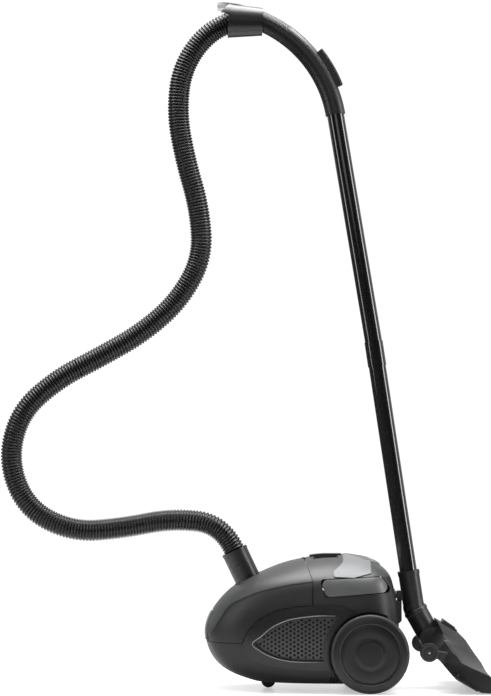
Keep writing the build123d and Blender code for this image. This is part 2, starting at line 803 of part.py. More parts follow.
# ---- wheels
def make_axles():
    near = rod_y(wheel_x, wheel_r, axle_r, arch_inner_y - axle_depth, wheel_outer_y - 7)
    return near + mirrored(near)


def make_wheel():
    outer = -wheel_outer_y
    inner = -wheel_inner_y
    rim = rod_y(wheel_x, wheel_r, wheel_r - tread_thickness, outer + 1, inner)
    rim = rim - rod_y(wheel_x, wheel_r, dish_r, outer, outer + 5)
    rim = rim - rod_y(wheel_x, wheel_r, wheel_r - tread_thickness - 4, outer + 8, inner + 1)
    rim = rim + rod_y(wheel_x, wheel_r, axle_r + 5, outer + 6, inner - 0.5)
    for step in range(6):
        spoke = Pos(wheel_x, 0, wheel_r) * Rot(0, step * 60, 0)
        rim = rim + spoke * block(9, wheel_r - tread_thickness - 3, outer + 7, inner - 4, -1.2, 1.2)
    return rim - rod_y(wheel_x, wheel_r, axle_r + axle_fit, outer - 5, inner + 5)


def make_wheel_tread():
    outer = -wheel_outer_y
    band = rod_y(wheel_x, wheel_r, wheel_r, outer, -wheel_inner_y)
    band = fillet(band.edges().group_by(Axis.Y)[0], 3)
    return band - rod_y(wheel_x, wheel_r, wheel_r - tread_thickness, outer - 5, 0)


def make_hub_cap():
    outer = -wheel_outer_y
    cap = rod_y(wheel_x, wheel_r, hub_cap_r, outer, outer + 5)
    return fillet(cap.edges().group_by(Axis.Y)[0], 2)


def make_castor_fork():
    x = castor_x + castor_trail
    axle_z = castor_wheel_r
    top = rod_z(castor_x, 0, 15, castor_wheel_r * 2 + 2, castor_pocket_z - shell_wall - 0.5)
    top = top + block(castor_x, x + 4, -11, 11, castor_wheel_r * 2 + 2, castor_pocket_z - shell_wall - 0.5)
    stem = rod_z(castor_x, 0, castor_stem_r, castor_pocket_z - shell_wall - 1, castor_pocket_z + 8)
    for side in (-1, 1):
        cheek = block(x - 5, x + 5, side * 9.5 - 1.5, side * 9.5 + 1.5, axle_z, castor_wheel_r * 2 + 3)
        top = top + cheek + rod_y(x, axle_z, 5, side * 9.5 - 1.5, side * 9.5 + 1.5)
    return top + stem + rod_y(x, axle_z, 2.5, -9, 9)


def make_castor_wheel():
    x = castor_x + castor_trail
    half = castor_wheel_width / 2
    wheel = rod_y(x, castor_wheel_r, castor_wheel_r, -half, half)
    wheel = fillet(wheel.edges().filter_by(GeomType.CIRCLE), 2)
    return wheel - rod_y(x, castor_wheel_r, 2.5 + axle_fit, -half - 1, half + 1)


# ---- park rail, cord gland and fasteners
def make_park_rail():
    outline_points = [
        (80, rail_low_z + 8), (rail_back_x - 5, rail_low_z), (rail_back_x, rail_low_z + 5),
        (rail_back_x, rail_high_z), (80, rail_high_z),
    ]
    rail = prism(outline_points, -rail_half_width, rail_half_width) - body_form(0.05)
    slot = block(
        slot_front_x - 0.3, slot_front_x + tongue_thickness + 0.3, -tongue_half_width - 0.4,
        tongue_half_width + 0.4, rail_high_z - tongue_length - 2, rail_high_z + 5,
    )
    return rail - slot


def make_cord_gland():
    x0 = cord_outlet_x
    body = rod_x(cord_outlet_y, cord_outlet_z, cord_gland_r, x0, x0 + gland_length)
    flange = rod_x(cord_outlet_y, cord_outlet_z, cord_gland_r + 3, x0 + gland_length, x0 + gland_length + 3)
    nose = Pos(x0 + gland_length + 6, cord_outlet_y, cord_outlet_z) * Rot(0, 90, 0) * Cone(
        cord_gland_r, cord_gland_r - 2, 6
    )
    return body + flange + nose - rod_x(cord_outlet_y, cord_outlet_z, cord_bore_r, x0 - 5, x0 + 30)


def make_screws():
    """Screws under the canister, one into a boss at each corner of the tub."""
    screws = []
    for x, y in screw_places:
        shank = rod_z(x, y, screw_r, body_bottom_z, body_bottom_z + 12)
        head = rod_z(x, y, screw_head_r, body_bottom_z - 1, body_bottom_z + 1)
        screws.append(head + shank)
    return Compound(children=screws)


# ---- wand
def ring_up(outer_r, inner_r, z0, z1):
    """A tube along the local +Z."""
    middle = Pos(0, 0, (z0 + z1) / 2)
    return middle * Cylinder(outer_r, z1 - z0) - middle * Cylinder(inner_r, z1 - z0 + 2)


def make_lower_tube():
    plain = ring_up(tube_r, tube_r - tube_wall, -tube_seat_depth, tube_length - socket_length + 1)
    socket = ring_up(socket_r, socket_r - tube_wall, tube_length - socket_length, tube_length)
    stop = tube_length - socket_length
    step = ring_up(socket_r, tube_r - tube_wall, stop, stop + 1.5)
    return lower_frame * (plain + socket + step)


def make_upper_tube():
    plain = ring_up(tube_r, tube_r - tube_wall, 0.5, tube_length)
    step = ring_up(tube_r, tube_r - 2.2, 0.5, 2.5)
    spigot = ring_up(tube_r - 1.2, tube_r - 2.2, -socket_length + 8, 2.5)
    return upper_frame * (plain + step + spigot)


def make_elbow_sleeve():
    straight = lower_frame * Pos(0, 0, -elbow_depth / 2 + 1) * Cylinder(sleeve_r, elbow_depth - 2)
    lip = lower_frame * Pos(0, 0, -4) * Cylinder(sleeve_r + 0.9, 8)
    ball = Pos(elbow_x, 0, elbow_z) * Sphere(sleeve_r + 0.8)
    end = Pos(elbow_x, 0, elbow_z) * Rot(0, 180 - neck_angle, 0)
    skirt = end * Pos(0, 0, ring_offset / 2) * Cylinder(neck_r - 0.6, ring_offset)
    below = end * Pos(0, 0, ring_offset + 40) * Box(120, 120, 80)
    body = straight + lip + ball + skirt
    hook = block(
        slot_front_x - 2, sleeve_top_x, -tongue_half_width, tongue_half_width,
        rail_high_z + tongue_gap, rail_high_z + tongue_gap + hook_height,
    )
    tongue = block(
        slot_front_x, slot_front_x + tongue_thickness, -tongue_half_width, tongue_half_width,
        rail_high_z - tongue_length, rail_high_z + tongue_gap + 1,
    )
    body = body + hook + tongue - below
    seat = Pos(0, 0, 5 - tube_seat_depth / 2) * Cylinder(tube_r + seat_fit, tube_seat_depth + 10)
    body = body - lower_frame * seat
    body = body - lower_frame * Pos(0, 0, -elbow_depth / 2) * Cylinder(neck_bore_r, elbow_depth)
    body = body - Pos(elbow_x, 0, elbow_z) * Sphere(neck_bore_r)
    return body - end * Pos(0, 0, ring_offset - 5) * Cylinder(neck_spigot_r + turn_fit, 12)


def make_swivel_neck():
    """Local +Z runs down the neck to the tilt axis."""
    bulge = Pos(0, 0, 4.5) * Cylinder(neck_r + 1.2, 8)
    bulge = fillet(bulge.edges(), 2.5)
    shaft = Pos(0, 0, neck_length / 2 + 2) * Cylinder(neck_r, neck_length - 4)
    spigot = Pos(0, 0, -2) * Cylinder(neck_spigot_r, 9)
    barrel = Pos(0, 0, neck_length) * Rot(90, 0, 0) * Cylinder(barrel_r, 2 * barrel_half_width)
    trim = Pos(0, 0, neck_length) * (
        Rot(90, 0, 0) * Cylinder(barrel_r + 0.01, 100) + Pos(0, 0, -50) * Box(100, 100, 100)
    )
    outer = (bulge + shaft + spigot) & (trim + Pos(0, 0, 10) * Box(100, 100, 60))
    whole = outer + barrel
    whole = whole - Pos(0, 0, neck_length / 2) * Cylinder(neck_bore_r, neck_length + 20)
    whole = whole - Pos(0, 0, neck_length + 8) * Box(2 * neck_bore_r, 2 * neck_bore_r, 40)
    pin_hole = Pos(0, 0, neck_length) * Rot(90, 0, 0) * Cylinder(tilt_pin_r + turn_fit, 100)
    return neck_frame * (whole - pin_hole)


def bend_axis():
    return Axis((bend_x, 0, bend_z), (0, -1, 0))


def grip_section(turned):
    """The plane across the grip, this far round its bend from the upper tube."""
    angle = math.radians(upper_lean + turned)
    return Plane(
        origin=(bend_x + grip_bend_r * math.cos(angle), 0, bend_z + grip_bend_r * math.sin(angle)),
        x_dir=(math.cos(angle), 0, math.sin(angle)),
        z_dir=(-math.sin(angle), 0, math.cos(angle)),
    )


def make_handle_grip():
    start, axis = grip_section(0), bend_axis()
    bend = revolve(start * Circle(grip_r), axis, grip_turn + 5)
    bend = bend - revolve(start * Circle(grip_r - grip_wall), axis, grip_turn + 5)
    stub_r = tube_r - tube_wall - seat_fit
    stub = upper_frame * ring_up(stub_r, stub_r - 2.5, tube_length - 30, tube_length + 1)
    rim = upper_frame * ring_up(grip_r - 1.2, stub_r - 2.5, tube_length, tube_length + 2)
    middle = (slider_start + slider_end) / 2
    vent = Rot(0, -(upper_lean + middle), 0) * Pos(grip_bend_r + 20, 0, 0) * Box(20, 8, 20)
    return bend + stub + rim - Pos(bend_x, 0, bend_z) * vent


def make_relief_slider():
    flat, axis = grip_section(slider_start), bend_axis()
    turn = slider_end - slider_start
    outer_r = grip_r + slider_rise
    section = Pos((8 + outer_r) / 2, 0) * Rectangle(outer_r - 8, 2 * slider_half_width)
    cap = revolve(flat * section, axis, turn)
    longest = cap.edges().sort_by(Edge.length)[-2:]
    cap = chamfer(longest, 3)
    return cap - revolve(flat * Circle(grip_r + 0.3), axis, turn)


def make_handle_collar():
    """Local +Z runs from the grip's end to the mouth that the hose goes into."""
    top = upper_lean + grip_turn
    end_x = bend_x + grip_bend_r * math.cos(math.radians(top))
    end_z = bend_z + grip_bend_r * math.sin(math.radians(top))
    frame = tilted(end_x, end_z, 90 - collar_tilt)
    shell = Pos(0, 0, collar_length / 2) * Cone(collar_neck_r, collar_mouth_r, collar_length)
    visor_end = collar_length + visor_length
    visor = ring_up(collar_mouth_r + 0.6, collar_mouth_r - visor_wall, collar_length - 4, visor_end)
    upper = Pos(60, 0, collar_length) * Box(100, 100, 80)
    slant = Pos(12, 0, visor_end + 12) * Rot(0, 38, 0) * Box(120, 100, 40)
    body = frame * (shell + (visor & upper) - slant)
    body = body - revolve(grip_section(0) * Circle(grip_r), bend_axis(), grip_turn + 5)
    seat = Pos(seat_x, 0, seat_z) * Rot(0, -90 - seat_angle, 0)
    body = body - seat * Pos(0, 0, 20) * Cylinder(hose_r + 1.5, 40)
    body = body - seat * Pos(0, 0, 24) * Cone(hose_r + 1.5, hose_r + 9, 28)
    return body - seat * Pos(0, 0, -20) * Cylinder(grip_r - grip_wall - 1, 42)


# ---- floor nozzle
def nozzle_profile():
    toe_top_x = toe_x + toe_bevel * pitch_cos - toe_face * pitch_sin
    toe_top_z = -sole_drop + toe_bevel * pitch_sin + toe_face * pitch_cos
    return [
        (toe_x, -sole_drop), (toe_x + toe_bevel * pitch_cos, -sole_drop + toe_bevel * pitch_sin),
        (toe_top_x, toe_top_z), (toe_top_x - 18, toe_top_z + 4), (66, -1), (40, 10), (26, 6), (19, -8),
        (23, -23), (56, -sole_drop),
    ]


def hump_profile():
    return [
        (112, -20), (112, 0), (100, 7), (76, 19), (56, 28.5), (38, 34), (2, 36), (-12, 24), (-18, 4),
        (-16, -22), (60, -30),
    ]


def neck_sweep():
    """The room that the neck needs in the nozzle over its tilt."""
    r = neck_r + 0.9
    rest = 90 + neck_angle + nozzle_pitch
    high, low = math.radians(rest - tilt_up), math.radians(rest + tilt_down)
    corners = [
        (r * math.sin(high), -r * math.cos(high)),
        (r * math.sin(high) + 90 * math.cos(high), -r * math.cos(high) + 90 * math.sin(high)),
        (-110, 90),
        (-r * math.sin(low) + 90 * math.cos(low), r * math.cos(low) + 90 * math.sin(low)),
        (-r * math.sin(low), r * math.cos(low)),
    ]
    half = barrel_half_width + 0.8
    return prism(corners, -half, half) + rod_y(0, 0, barrel_r + 0.8, -half, half)


def make_nozzle_cover():
    bar = prism(nozzle_profile(), -nozzle_half_width, nozzle_half_width)
    bar = fillet(bar.faces().filter_by(Axis.Y).edges(), 4)
    hump = prism(hump_profile(), -hump_half_width, hump_half_width, 3)
    bar_room, hump_room = nozzle_half_width - nozzle_end_wall, hump_half_width - nozzle_wall
    room = prism(nozzle_profile(), -bar_room, bar_room, shrink=nozzle_wall)
    room = room + prism(hump_profile(), -hump_room, hump_room, shrink=nozzle_wall)
    wall_half = barrel_half_width + 0.8 + nozzle_wall
    room = room - rod_y(0, 0, barrel_r + 0.8 + nozzle_wall, -wall_half, wall_half)
    room = room - block(-60, 8, -150, 150, -60, 60) - pedal_pocket(2)
    mouth = block(62, toe_x - 8, -bar_room, bar_room, -60, -sole_drop + 6)
    duct = prism([(10, -12), (10, 14), (34, 18), (40, -16)], 1 - neck_bore_r, neck_bore_r - 1)
    cover = bar + hump - room - mouth - duct - neck_sweep() - pedal_pocket(0)
    cover = cover - rod_y(
        nozzle_pedal_x, nozzle_pedal_z, 2 + pin_fit, -nozzle_pedal_half_width - 6,
        nozzle_pedal_half_width + 6,
    )
    return nozzle_frame * (cover + make_wheel_brackets() + make_tilt_pins())


def pedal_pocket(grow):
    return block(
        nozzle_pedal_x - nozzle_pedal_length / 2 - 0.6 - grow,
        nozzle_pedal_x + nozzle_pedal_length / 2 + 0.6 + grow,
        -nozzle_pedal_half_width - 0.5 - grow, nozzle_pedal_half_width + 0.5 + grow, 27.5 - grow, 60,
    )


def make_tilt_pins():
    near = rod_y(0, 0, tilt_pin_r, -barrel_half_width - 12, -barrel_half_width + 5)
    return near + mirrored(near)


def make_nozzle_base():
    x1 = toe_x - 8
    half = nozzle_half_width - nozzle_end_wall - 0.3
    plate = block(62.3, x1, -half, half, -sole_drop, -sole_drop + 3.5)
    skirt = block(62.3, 65, -half, half, -sole_drop + 3, -sole_drop + 12)
    mouth = block(mouth_rear_x, mouth_front_x, -mouth_half_width, mouth_half_width, -60, 0)
    slot_x, slot_y = brush_thickness / 2 + brush_fit, brush_half_width + brush_fit
    slot = block(brush_x - slot_x, brush_x + slot_x, -slot_y, slot_y, -60, 0)
    return nozzle_frame * (plate + skirt - mouth - slot)


def make_wheel_brackets():
    near = -small_wheel_y
    arm_points = [(19.5, -18), (24, -14), (30, -14), (34, -28), (23.5, -23.5), (6, -30), (0, -26), (0, -17)]
    arm = prism(arm_points, near + 1, near + 7)
    arm = arm + rod_y(0.3, small_wheel_z, 7, near + 1, near + 7)
    arm = arm + rod_y(0.3, small_wheel_z, small_axle_r, near - small_wheel_width - 1, near + 6)
    return arm + mirrored(arm)


def make_nozzle_wheel():
    y0 = -small_wheel_y - small_wheel_width
    wheel = rod_y(0.3, small_wheel_z, small_wheel_r, y0, -small_wheel_y)
    wheel = fillet(wheel.edges().filter_by(GeomType.CIRCLE), 2)
    return nozzle_frame * (wheel - rod_y(0.3, small_wheel_z, small_axle_r + axle_fit, y0 - 5, 0))


def make_nozzle_pedal():
    half, pedal_y = nozzle_pedal_length / 2, nozzle_pedal_half_width
    x0, x1 = nozzle_pedal_x - half, nozzle_pedal_x + half
    plate = prism(
        [
            (x0 + 2, 33.5), (x0, 36.5), (x0, 39), (nozzle_pedal_x, 38.4), (x1, 36.5), (x1, 31.5),
            (nozzle_pedal_x, 32),
        ],
        -pedal_y, pedal_y,
    )
    for step in range(5):
        x = x0 + 4 + step * 5
        plate = plate + block(x, x + 2, 4 - pedal_y, pedal_y - 4, 37, 40 - step * 0.3)
    pivot = rod_y(nozzle_pedal_x, nozzle_pedal_z, 2, -pedal_y - 4, pedal_y + 4)
    return nozzle_frame * (plate + pivot)


def make_brush_strip():
    low = brush_drop - brush_reach - sole_drop
    bar = block(
        brush_x - brush_thickness / 2, brush_x + brush_thickness / 2, -brush_half_width,
        brush_half_width, low + 3, low + 12,
    )
    tufts = []
    count = int((2 * brush_half_width - 8) / tuft_pitch) + 1
    for step in range(count):
        y = (step - (count - 1) / 2) * tuft_pitch
        tufts.append(block(brush_x - 1.2, brush_x + 1.2, y - 2.6, y + 2.6, low, low + 4))
    return nozzle_frame * joined([bar] + tufts)


# ---- hose
def corner_radii(points):
    """Each corner's radius, as large as its two runs allow."""
    radii = []
    for before, at, after in zip(points, points[1:], points[2:]):
        a = Vector(at[0] - before[0], 0, at[1] - before[1])
        b = Vector(after[0] - at[0], 0, after[1] - at[1])
        half_turn = math.radians(a.get_angle(b)) / 2
        radii.append(0.45 * min(a.length, b.length) / math.tan(half_turn))
    return radii


def make_hose(points, radii):
    path = FilletPolyline(*[(x, 0, z) for x, z in points], radius=radii)
    start = Plane(origin=path @ 0, z_dir=path % 0)
    tube = sweep(start * (Circle(hose_r) - Circle(hose_r - hose_wall)), path=path)
    section = math.pi * (hose_r ** 2 - (hose_r - hose_wall) ** 2)
    print("hose piece", round(path.length, 1), "mm, volume over section times length",
          round(tube.volume / (section * path.length), 4))
    return tube


def make_hoses():
    radii = corner_radii(hose_route)
    print("hose radii", [round(r) for r in radii])
    (ax, az), (bx, bz) = hose_route[hose_split_run], hose_route[hose_split_run + 1]
    split = ((ax + bx) / 2, (az + bz) / 2)
    lower = make_hose(hose_route[:hose_split_run + 1] + [split], radii[:hose_split_run])
    upper = make_hose([split] + hose_route[hose_split_run + 1:], radii[hose_split_run:])
    return lower, upper


def make_hinge_pin():
    return rod_y(hinge_x, hinge_z, hinge_pin_r, -17, 17)


# ---- every node
def main():
    os.makedirs("parts", exist_ok=True)
    wheel, tread, cap = make_wheel(), make_wheel_tread(), make_hub_cap()
    pad, button, nozzle_wheel, grille = make_pad(), make_cuff_button(), make_nozzle_wheel(), make_grille()
    hose_lower, hose_upper = make_hoses()
    nodes = {
        "lower_housing": make_lower_housing(),
        "rear_housing": make_rear_housing(),
        "grilles": Compound(children=[grille, mirrored(grille)]),
        "grille_trims": make_grille_trims(),
        "exhaust_filters": make_exhaust_filters(),
        "bulkhead": make_bulkhead(),
        "motor_filter": make_motor_filter(),
        "motor_case": make_motor_case(),
        "motor_stator": make_motor_stator(),
        "motor_bearings": make_motor_bearings(),
        "motor_rotor": make_motor_rotor(),
        "motor_fan": make_motor_fan(),
        "cord_reel": make_cord_reel(),
        "wound_cord": make_wound_cord(),
        "reel_bracket": make_reel_bracket(),
        "dust_bag": make_dust_bag(),
        "bag_collar": make_bag_collar(),
        "wheel_axles": make_axles(),
        "park_rail": make_park_rail(),
        "cord_gland": make_cord_gland(),
        "housing_screws": make_screws(),
        "handle_well": make_handle_well(),
        "carry_handle": make_carry_handle(),
        "top_insert": make_top_insert(),
        "speed_board": make_speed_board(),
        "power_dial": make_power_dial(),
        "power_pad": pad,
        "rewind_pad": mirrored(pad),
        "front_hood": make_front_hood(),
        "hinge_pin": make_hinge_pin(),
        "lid_latch": make_lid_latch(),
        "intake_socket": make_intake_socket(),
        "intake_seal": make_intake_seal(),
        "indicator_window": make_indicator_window(),
        "hose_cuff": make_hose_cuff(),
        "cuff_button_left": button,
        "cuff_button_right": mirrored(button),
        "wheel_left": wheel,
        "wheel_right": mirrored(wheel),
        "tread_left": tread,
        "tread_right": mirrored(tread),
        "hub_cap_left": cap,
        "hub_cap_right": mirrored(cap),
        "castor_fork": make_castor_fork(),
        "castor_wheel": make_castor_wheel(),
        "lower_tube": make_lower_tube(),
        "upper_tube": make_upper_tube(),
        "elbow_sleeve": make_elbow_sleeve(),
        "handle_grip": make_handle_grip(),
        "handle_collar": make_handle_collar(),
        "relief_slider": make_relief_slider(),
        "swivel_neck": make_swivel_neck(),
        "nozzle_cover": make_nozzle_cover(),
        "nozzle_base": make_nozzle_base(),
        "nozzle_pedal": make_nozzle_pedal(),
        "brush_strip": make_brush_strip(),
        "nozzle_wheel_left": nozzle_wheel,
        "nozzle_wheel_right": mirrored(nozzle_wheel),
        "hose_lower": hose_lower,
        "hose_upper": hose_upper,
    }
    for name, shape in nodes.items():
        export_step(shape, f"parts/{name}.step")


if __name__ == "__main__":
    main()
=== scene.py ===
import math
import bpy
import bmesh
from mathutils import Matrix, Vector
from mathutils.bvhtree import BVHTree


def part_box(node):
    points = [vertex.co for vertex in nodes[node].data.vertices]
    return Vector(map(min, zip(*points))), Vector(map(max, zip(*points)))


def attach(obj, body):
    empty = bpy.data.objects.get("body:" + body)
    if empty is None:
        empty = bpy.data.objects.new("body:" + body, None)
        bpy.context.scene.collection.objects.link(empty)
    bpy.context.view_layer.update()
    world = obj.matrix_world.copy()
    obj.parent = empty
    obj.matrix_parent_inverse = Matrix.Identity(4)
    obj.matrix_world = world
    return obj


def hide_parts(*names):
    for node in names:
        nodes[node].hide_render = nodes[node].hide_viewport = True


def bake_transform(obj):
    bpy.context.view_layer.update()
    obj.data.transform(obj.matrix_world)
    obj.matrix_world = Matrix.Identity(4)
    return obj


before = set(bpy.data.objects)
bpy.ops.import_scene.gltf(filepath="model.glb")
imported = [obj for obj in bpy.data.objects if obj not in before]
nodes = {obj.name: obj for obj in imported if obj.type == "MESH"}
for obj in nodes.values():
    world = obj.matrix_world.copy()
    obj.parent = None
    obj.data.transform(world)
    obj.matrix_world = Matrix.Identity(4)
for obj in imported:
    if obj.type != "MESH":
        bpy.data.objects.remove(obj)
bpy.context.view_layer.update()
print("frame loaded,", len(nodes), "nodes")

# camera: side view, low and far away, aimed at the middle of the object's height
cameraPlace = {"at": (-0.184, -4.4, 0.455), "aim": (-0.184, 0.0, 0.625), "lens": 123.0}
cameraData = bpy.data.cameras.new("sideCamera")
cameraData.lens = cameraPlace["lens"]
camera = bpy.data.objects.new("sideCamera", cameraData)
camera.location = cameraPlace["at"]
aim = Vector(cameraPlace["aim"]) - camera.location
camera.rotation_euler = aim.to_track_quat("-Z", "Y").to_euler()
bpy.context.scene.collection.objects.link(camera)
bpy.context.scene.camera = camera


# node helpers
def link(tree, fromNode, output, toNode, socket):
    tree.links.new(fromNode.outputs[output], toNode.inputs[socket])


def newGroup(name, inputs, outputs):
    group = bpy.data.node_groups.new(name, "ShaderNodeTree")
    for label, kind, value in inputs:
        socket = group.interface.new_socket(label, in_out="INPUT", socket_type=kind)
        socket.default_value = value
    for label, kind in outputs:
        group.interface.new_socket(label, in_out="OUTPUT", socket_type=kind)
    return group, group.nodes.new("NodeGroupInput"), group.nodes.new("NodeGroupOutput")


def mapRange(tree, low, high):
    node = tree.nodes.new("ShaderNodeMapRange")
    node.inputs["To Min"].default_value = low
    node.inputs["To Max"].default_value = high
    return node


def makeMouldGrain():
    # spark-eroded mould texture: fine height, patchy gloss and a little tone drift
    group, inside, outside = newGroup(
        "mouldGrain",
        [("Light Tone", "NodeSocketColor", (0.06, 0.06, 0.06, 1)),
         ("Dark Tone", "NodeSocketColor", (0.04, 0.04, 0.04, 1)),
         ("Grain Size", "NodeSocketFloat", 1800.0),
         ("Smooth", "NodeSocketFloat", 0.3),
         ("Rough", "NodeSocketFloat", 0.45)],
        [("Colour", "NodeSocketColor"), ("Roughness", "NodeSocketFloat"), ("Height", "NodeSocketFloat")],
    )
    place = group.nodes.new("ShaderNodeTexCoord")
    fine = group.nodes.new("ShaderNodeTexNoise")
    fine.inputs["Detail"].default_value = 3.0
    link(group, place, "Object", fine, "Vector")
    link(group, inside, "Grain Size", fine, "Scale")
    cells = group.nodes.new("ShaderNodeTexVoronoi")
    link(group, place, "Object", cells, "Vector")
    link(group, inside, "Grain Size", cells, "Scale")
    broad = group.nodes.new("ShaderNodeTexNoise")
    broad.inputs["Scale"].default_value = 14.0
    broad.inputs["Detail"].default_value = 4.0
    link(group, place, "Object", broad, "Vector")
    tone = group.nodes.new("ShaderNodeMix")
    tone.data_type = "RGBA"
    link(group, broad, "Fac", tone, "Factor")
    group.links.new(inside.outputs["Dark Tone"], tone.inputs["A"])
    group.links.new(inside.outputs["Light Tone"], tone.inputs["B"])
    group.links.new(tone.outputs["Result"], outside.inputs["Colour"])
    gloss = group.nodes.new("ShaderNodeMapRange")
    patch = group.nodes.new("ShaderNodeMath")
    patch.operation = "ADD"
    half = group.nodes.new("ShaderNodeMath")
    half.operation = "MULTIPLY"
    half.inputs[1].default_value = 0.35
    link(group, fine, "Fac", half, 0)
    link(group, half, "Value", patch, 1)
    shrink = group.nodes.new("ShaderNodeMath")
    shrink.operation = "MULTIPLY"
    shrink.inputs[1].default_value = 0.65
    link(group, broad, "Fac", shrink, 0)
    link(group, shrink, "Value", patch, 0)
    link(group, patch, "Value", gloss, "Value")
    gloss.inputs["From Min"].default_value = 0.3
    gloss.inputs["From Max"].default_value = 0.7
    link(group, inside, "Smooth", gloss, "To Min")
    link(group, inside, "Rough", gloss, "To Max")
    link(group, gloss, "Result", outside, "Roughness")
    height = group.nodes.new("ShaderNodeMath")
    height.operation = "ADD"
    link(group, fine, "Fac", height, 0)
    link(group, cells, "Distance", height, 1)
    link(group, height, "Value", outside, "Height")
    return group


def makeHandling():
    # dust that settles on upward faces and faint wipe marks, as a mask
    group, inside, outside = newGroup(
        "handlingMarks",
        [("Dust", "NodeSocketFloat", 0.2), ("Mark Size", "NodeSocketFloat", 60.0)],
        [("Mask", "NodeSocketFloat")],
    )
    place = group.nodes.new("ShaderNodeTexCoord")
    shape = group.nodes.new("ShaderNodeNewGeometry")
    axes = group.nodes.new("ShaderNodeSeparateXYZ")
    link(group, shape, "Normal", axes, "Vector")
    speck = group.nodes.new("ShaderNodeTexNoise")
    speck.inputs["Detail"].default_value = 6.0
    speck.inputs["Roughness"].default_value = 0.7
    link(group, place, "Object", speck, "Vector")
    link(group, inside, "Mark Size", speck, "Scale")
    up = mapRange(group, 0.15, 1.0)
    link(group, axes, "Z", up, "Value")
    spots = mapRange(group, 0.0, 1.0)
    spots.inputs["From Min"].default_value = 0.42
    spots.inputs["From Max"].default_value = 0.8
    link(group, speck, "Fac", spots, "Value")
    both = group.nodes.new("ShaderNodeMath")
    both.operation = "MULTIPLY"
    link(group, up, "Result", both, 0)
    link(group, spots, "Result", both, 1)
    amount = group.nodes.new("ShaderNodeMath")
    amount.operation = "MULTIPLY"
    link(group, both, "Value", amount, 0)
    link(group, inside, "Dust", amount, 1)
    link(group, amount, "Value", outside, "Mask")
    return group


mouldGrain = makeMouldGrain()
handlingMarks = makeHandling()


def mouldedMaterial(name, look):
    # one moulded finish: grain, gloss drift and settled dust over a Principled shader
    material = bpy.data.materials.new(name)
    material.use_nodes = True
    tree = material.node_tree
    shader = tree.nodes["Principled BSDF"]
    grain = tree.nodes.new("ShaderNodeGroup")
    grain.node_tree = mouldGrain
    tone = look["tone"]
    warm = look.get("warm", 0.97)
    for socket, share in (("Light Tone", 1.12), ("Dark Tone", 0.88)):
        level = tone * share
        grain.inputs[socket].default_value = (level * warm, level * (1 + warm) / 2, level, 1)
    grain.inputs["Grain Size"].default_value = look.get("grain", 1800.0)
    grain.inputs["Smooth"].default_value = look["gloss"][0]
    grain.inputs["Rough"].default_value = look["gloss"][1]
    marks = tree.nodes.new("ShaderNodeGroup")
    marks.node_tree = handlingMarks
    marks.inputs["Dust"].default_value = look.get("dust", 0.12)
    dusty = tree.nodes.new("ShaderNodeMix")
    dusty.data_type = "RGBA"
    dusty.inputs["B"].default_value = (0.32, 0.31, 0.3, 1)
    link(tree, marks, "Mask", dusty, "Factor")
    tree.links.new(grain.outputs["Colour"], dusty.inputs["A"])
    tree.links.new(dusty.outputs["Result"], shader.inputs["Base Color"])
    link(tree, grain, "Roughness", shader, "Roughness")
    bump = tree.nodes.new("ShaderNodeBump")
    bump.inputs["Strength"].default_value = look.get("bump", 0.12)
    bump.inputs["Distance"].default_value = 0.0002
    link(tree, grain, "Height", bump, "Height")
    link(tree, bump, "Normal", shader, "Normal")
    shader.inputs["Metallic"].default_value = look.get("metal", 0.0)
    shader.inputs["Coat Weight"].default_value = look.get("coat", 0.0)
    shader.inputs["Coat Roughness"].default_value = 0.08
    shader.inputs["Specular IOR Level"].default_value = look.get("shine", 0.5)
    return material


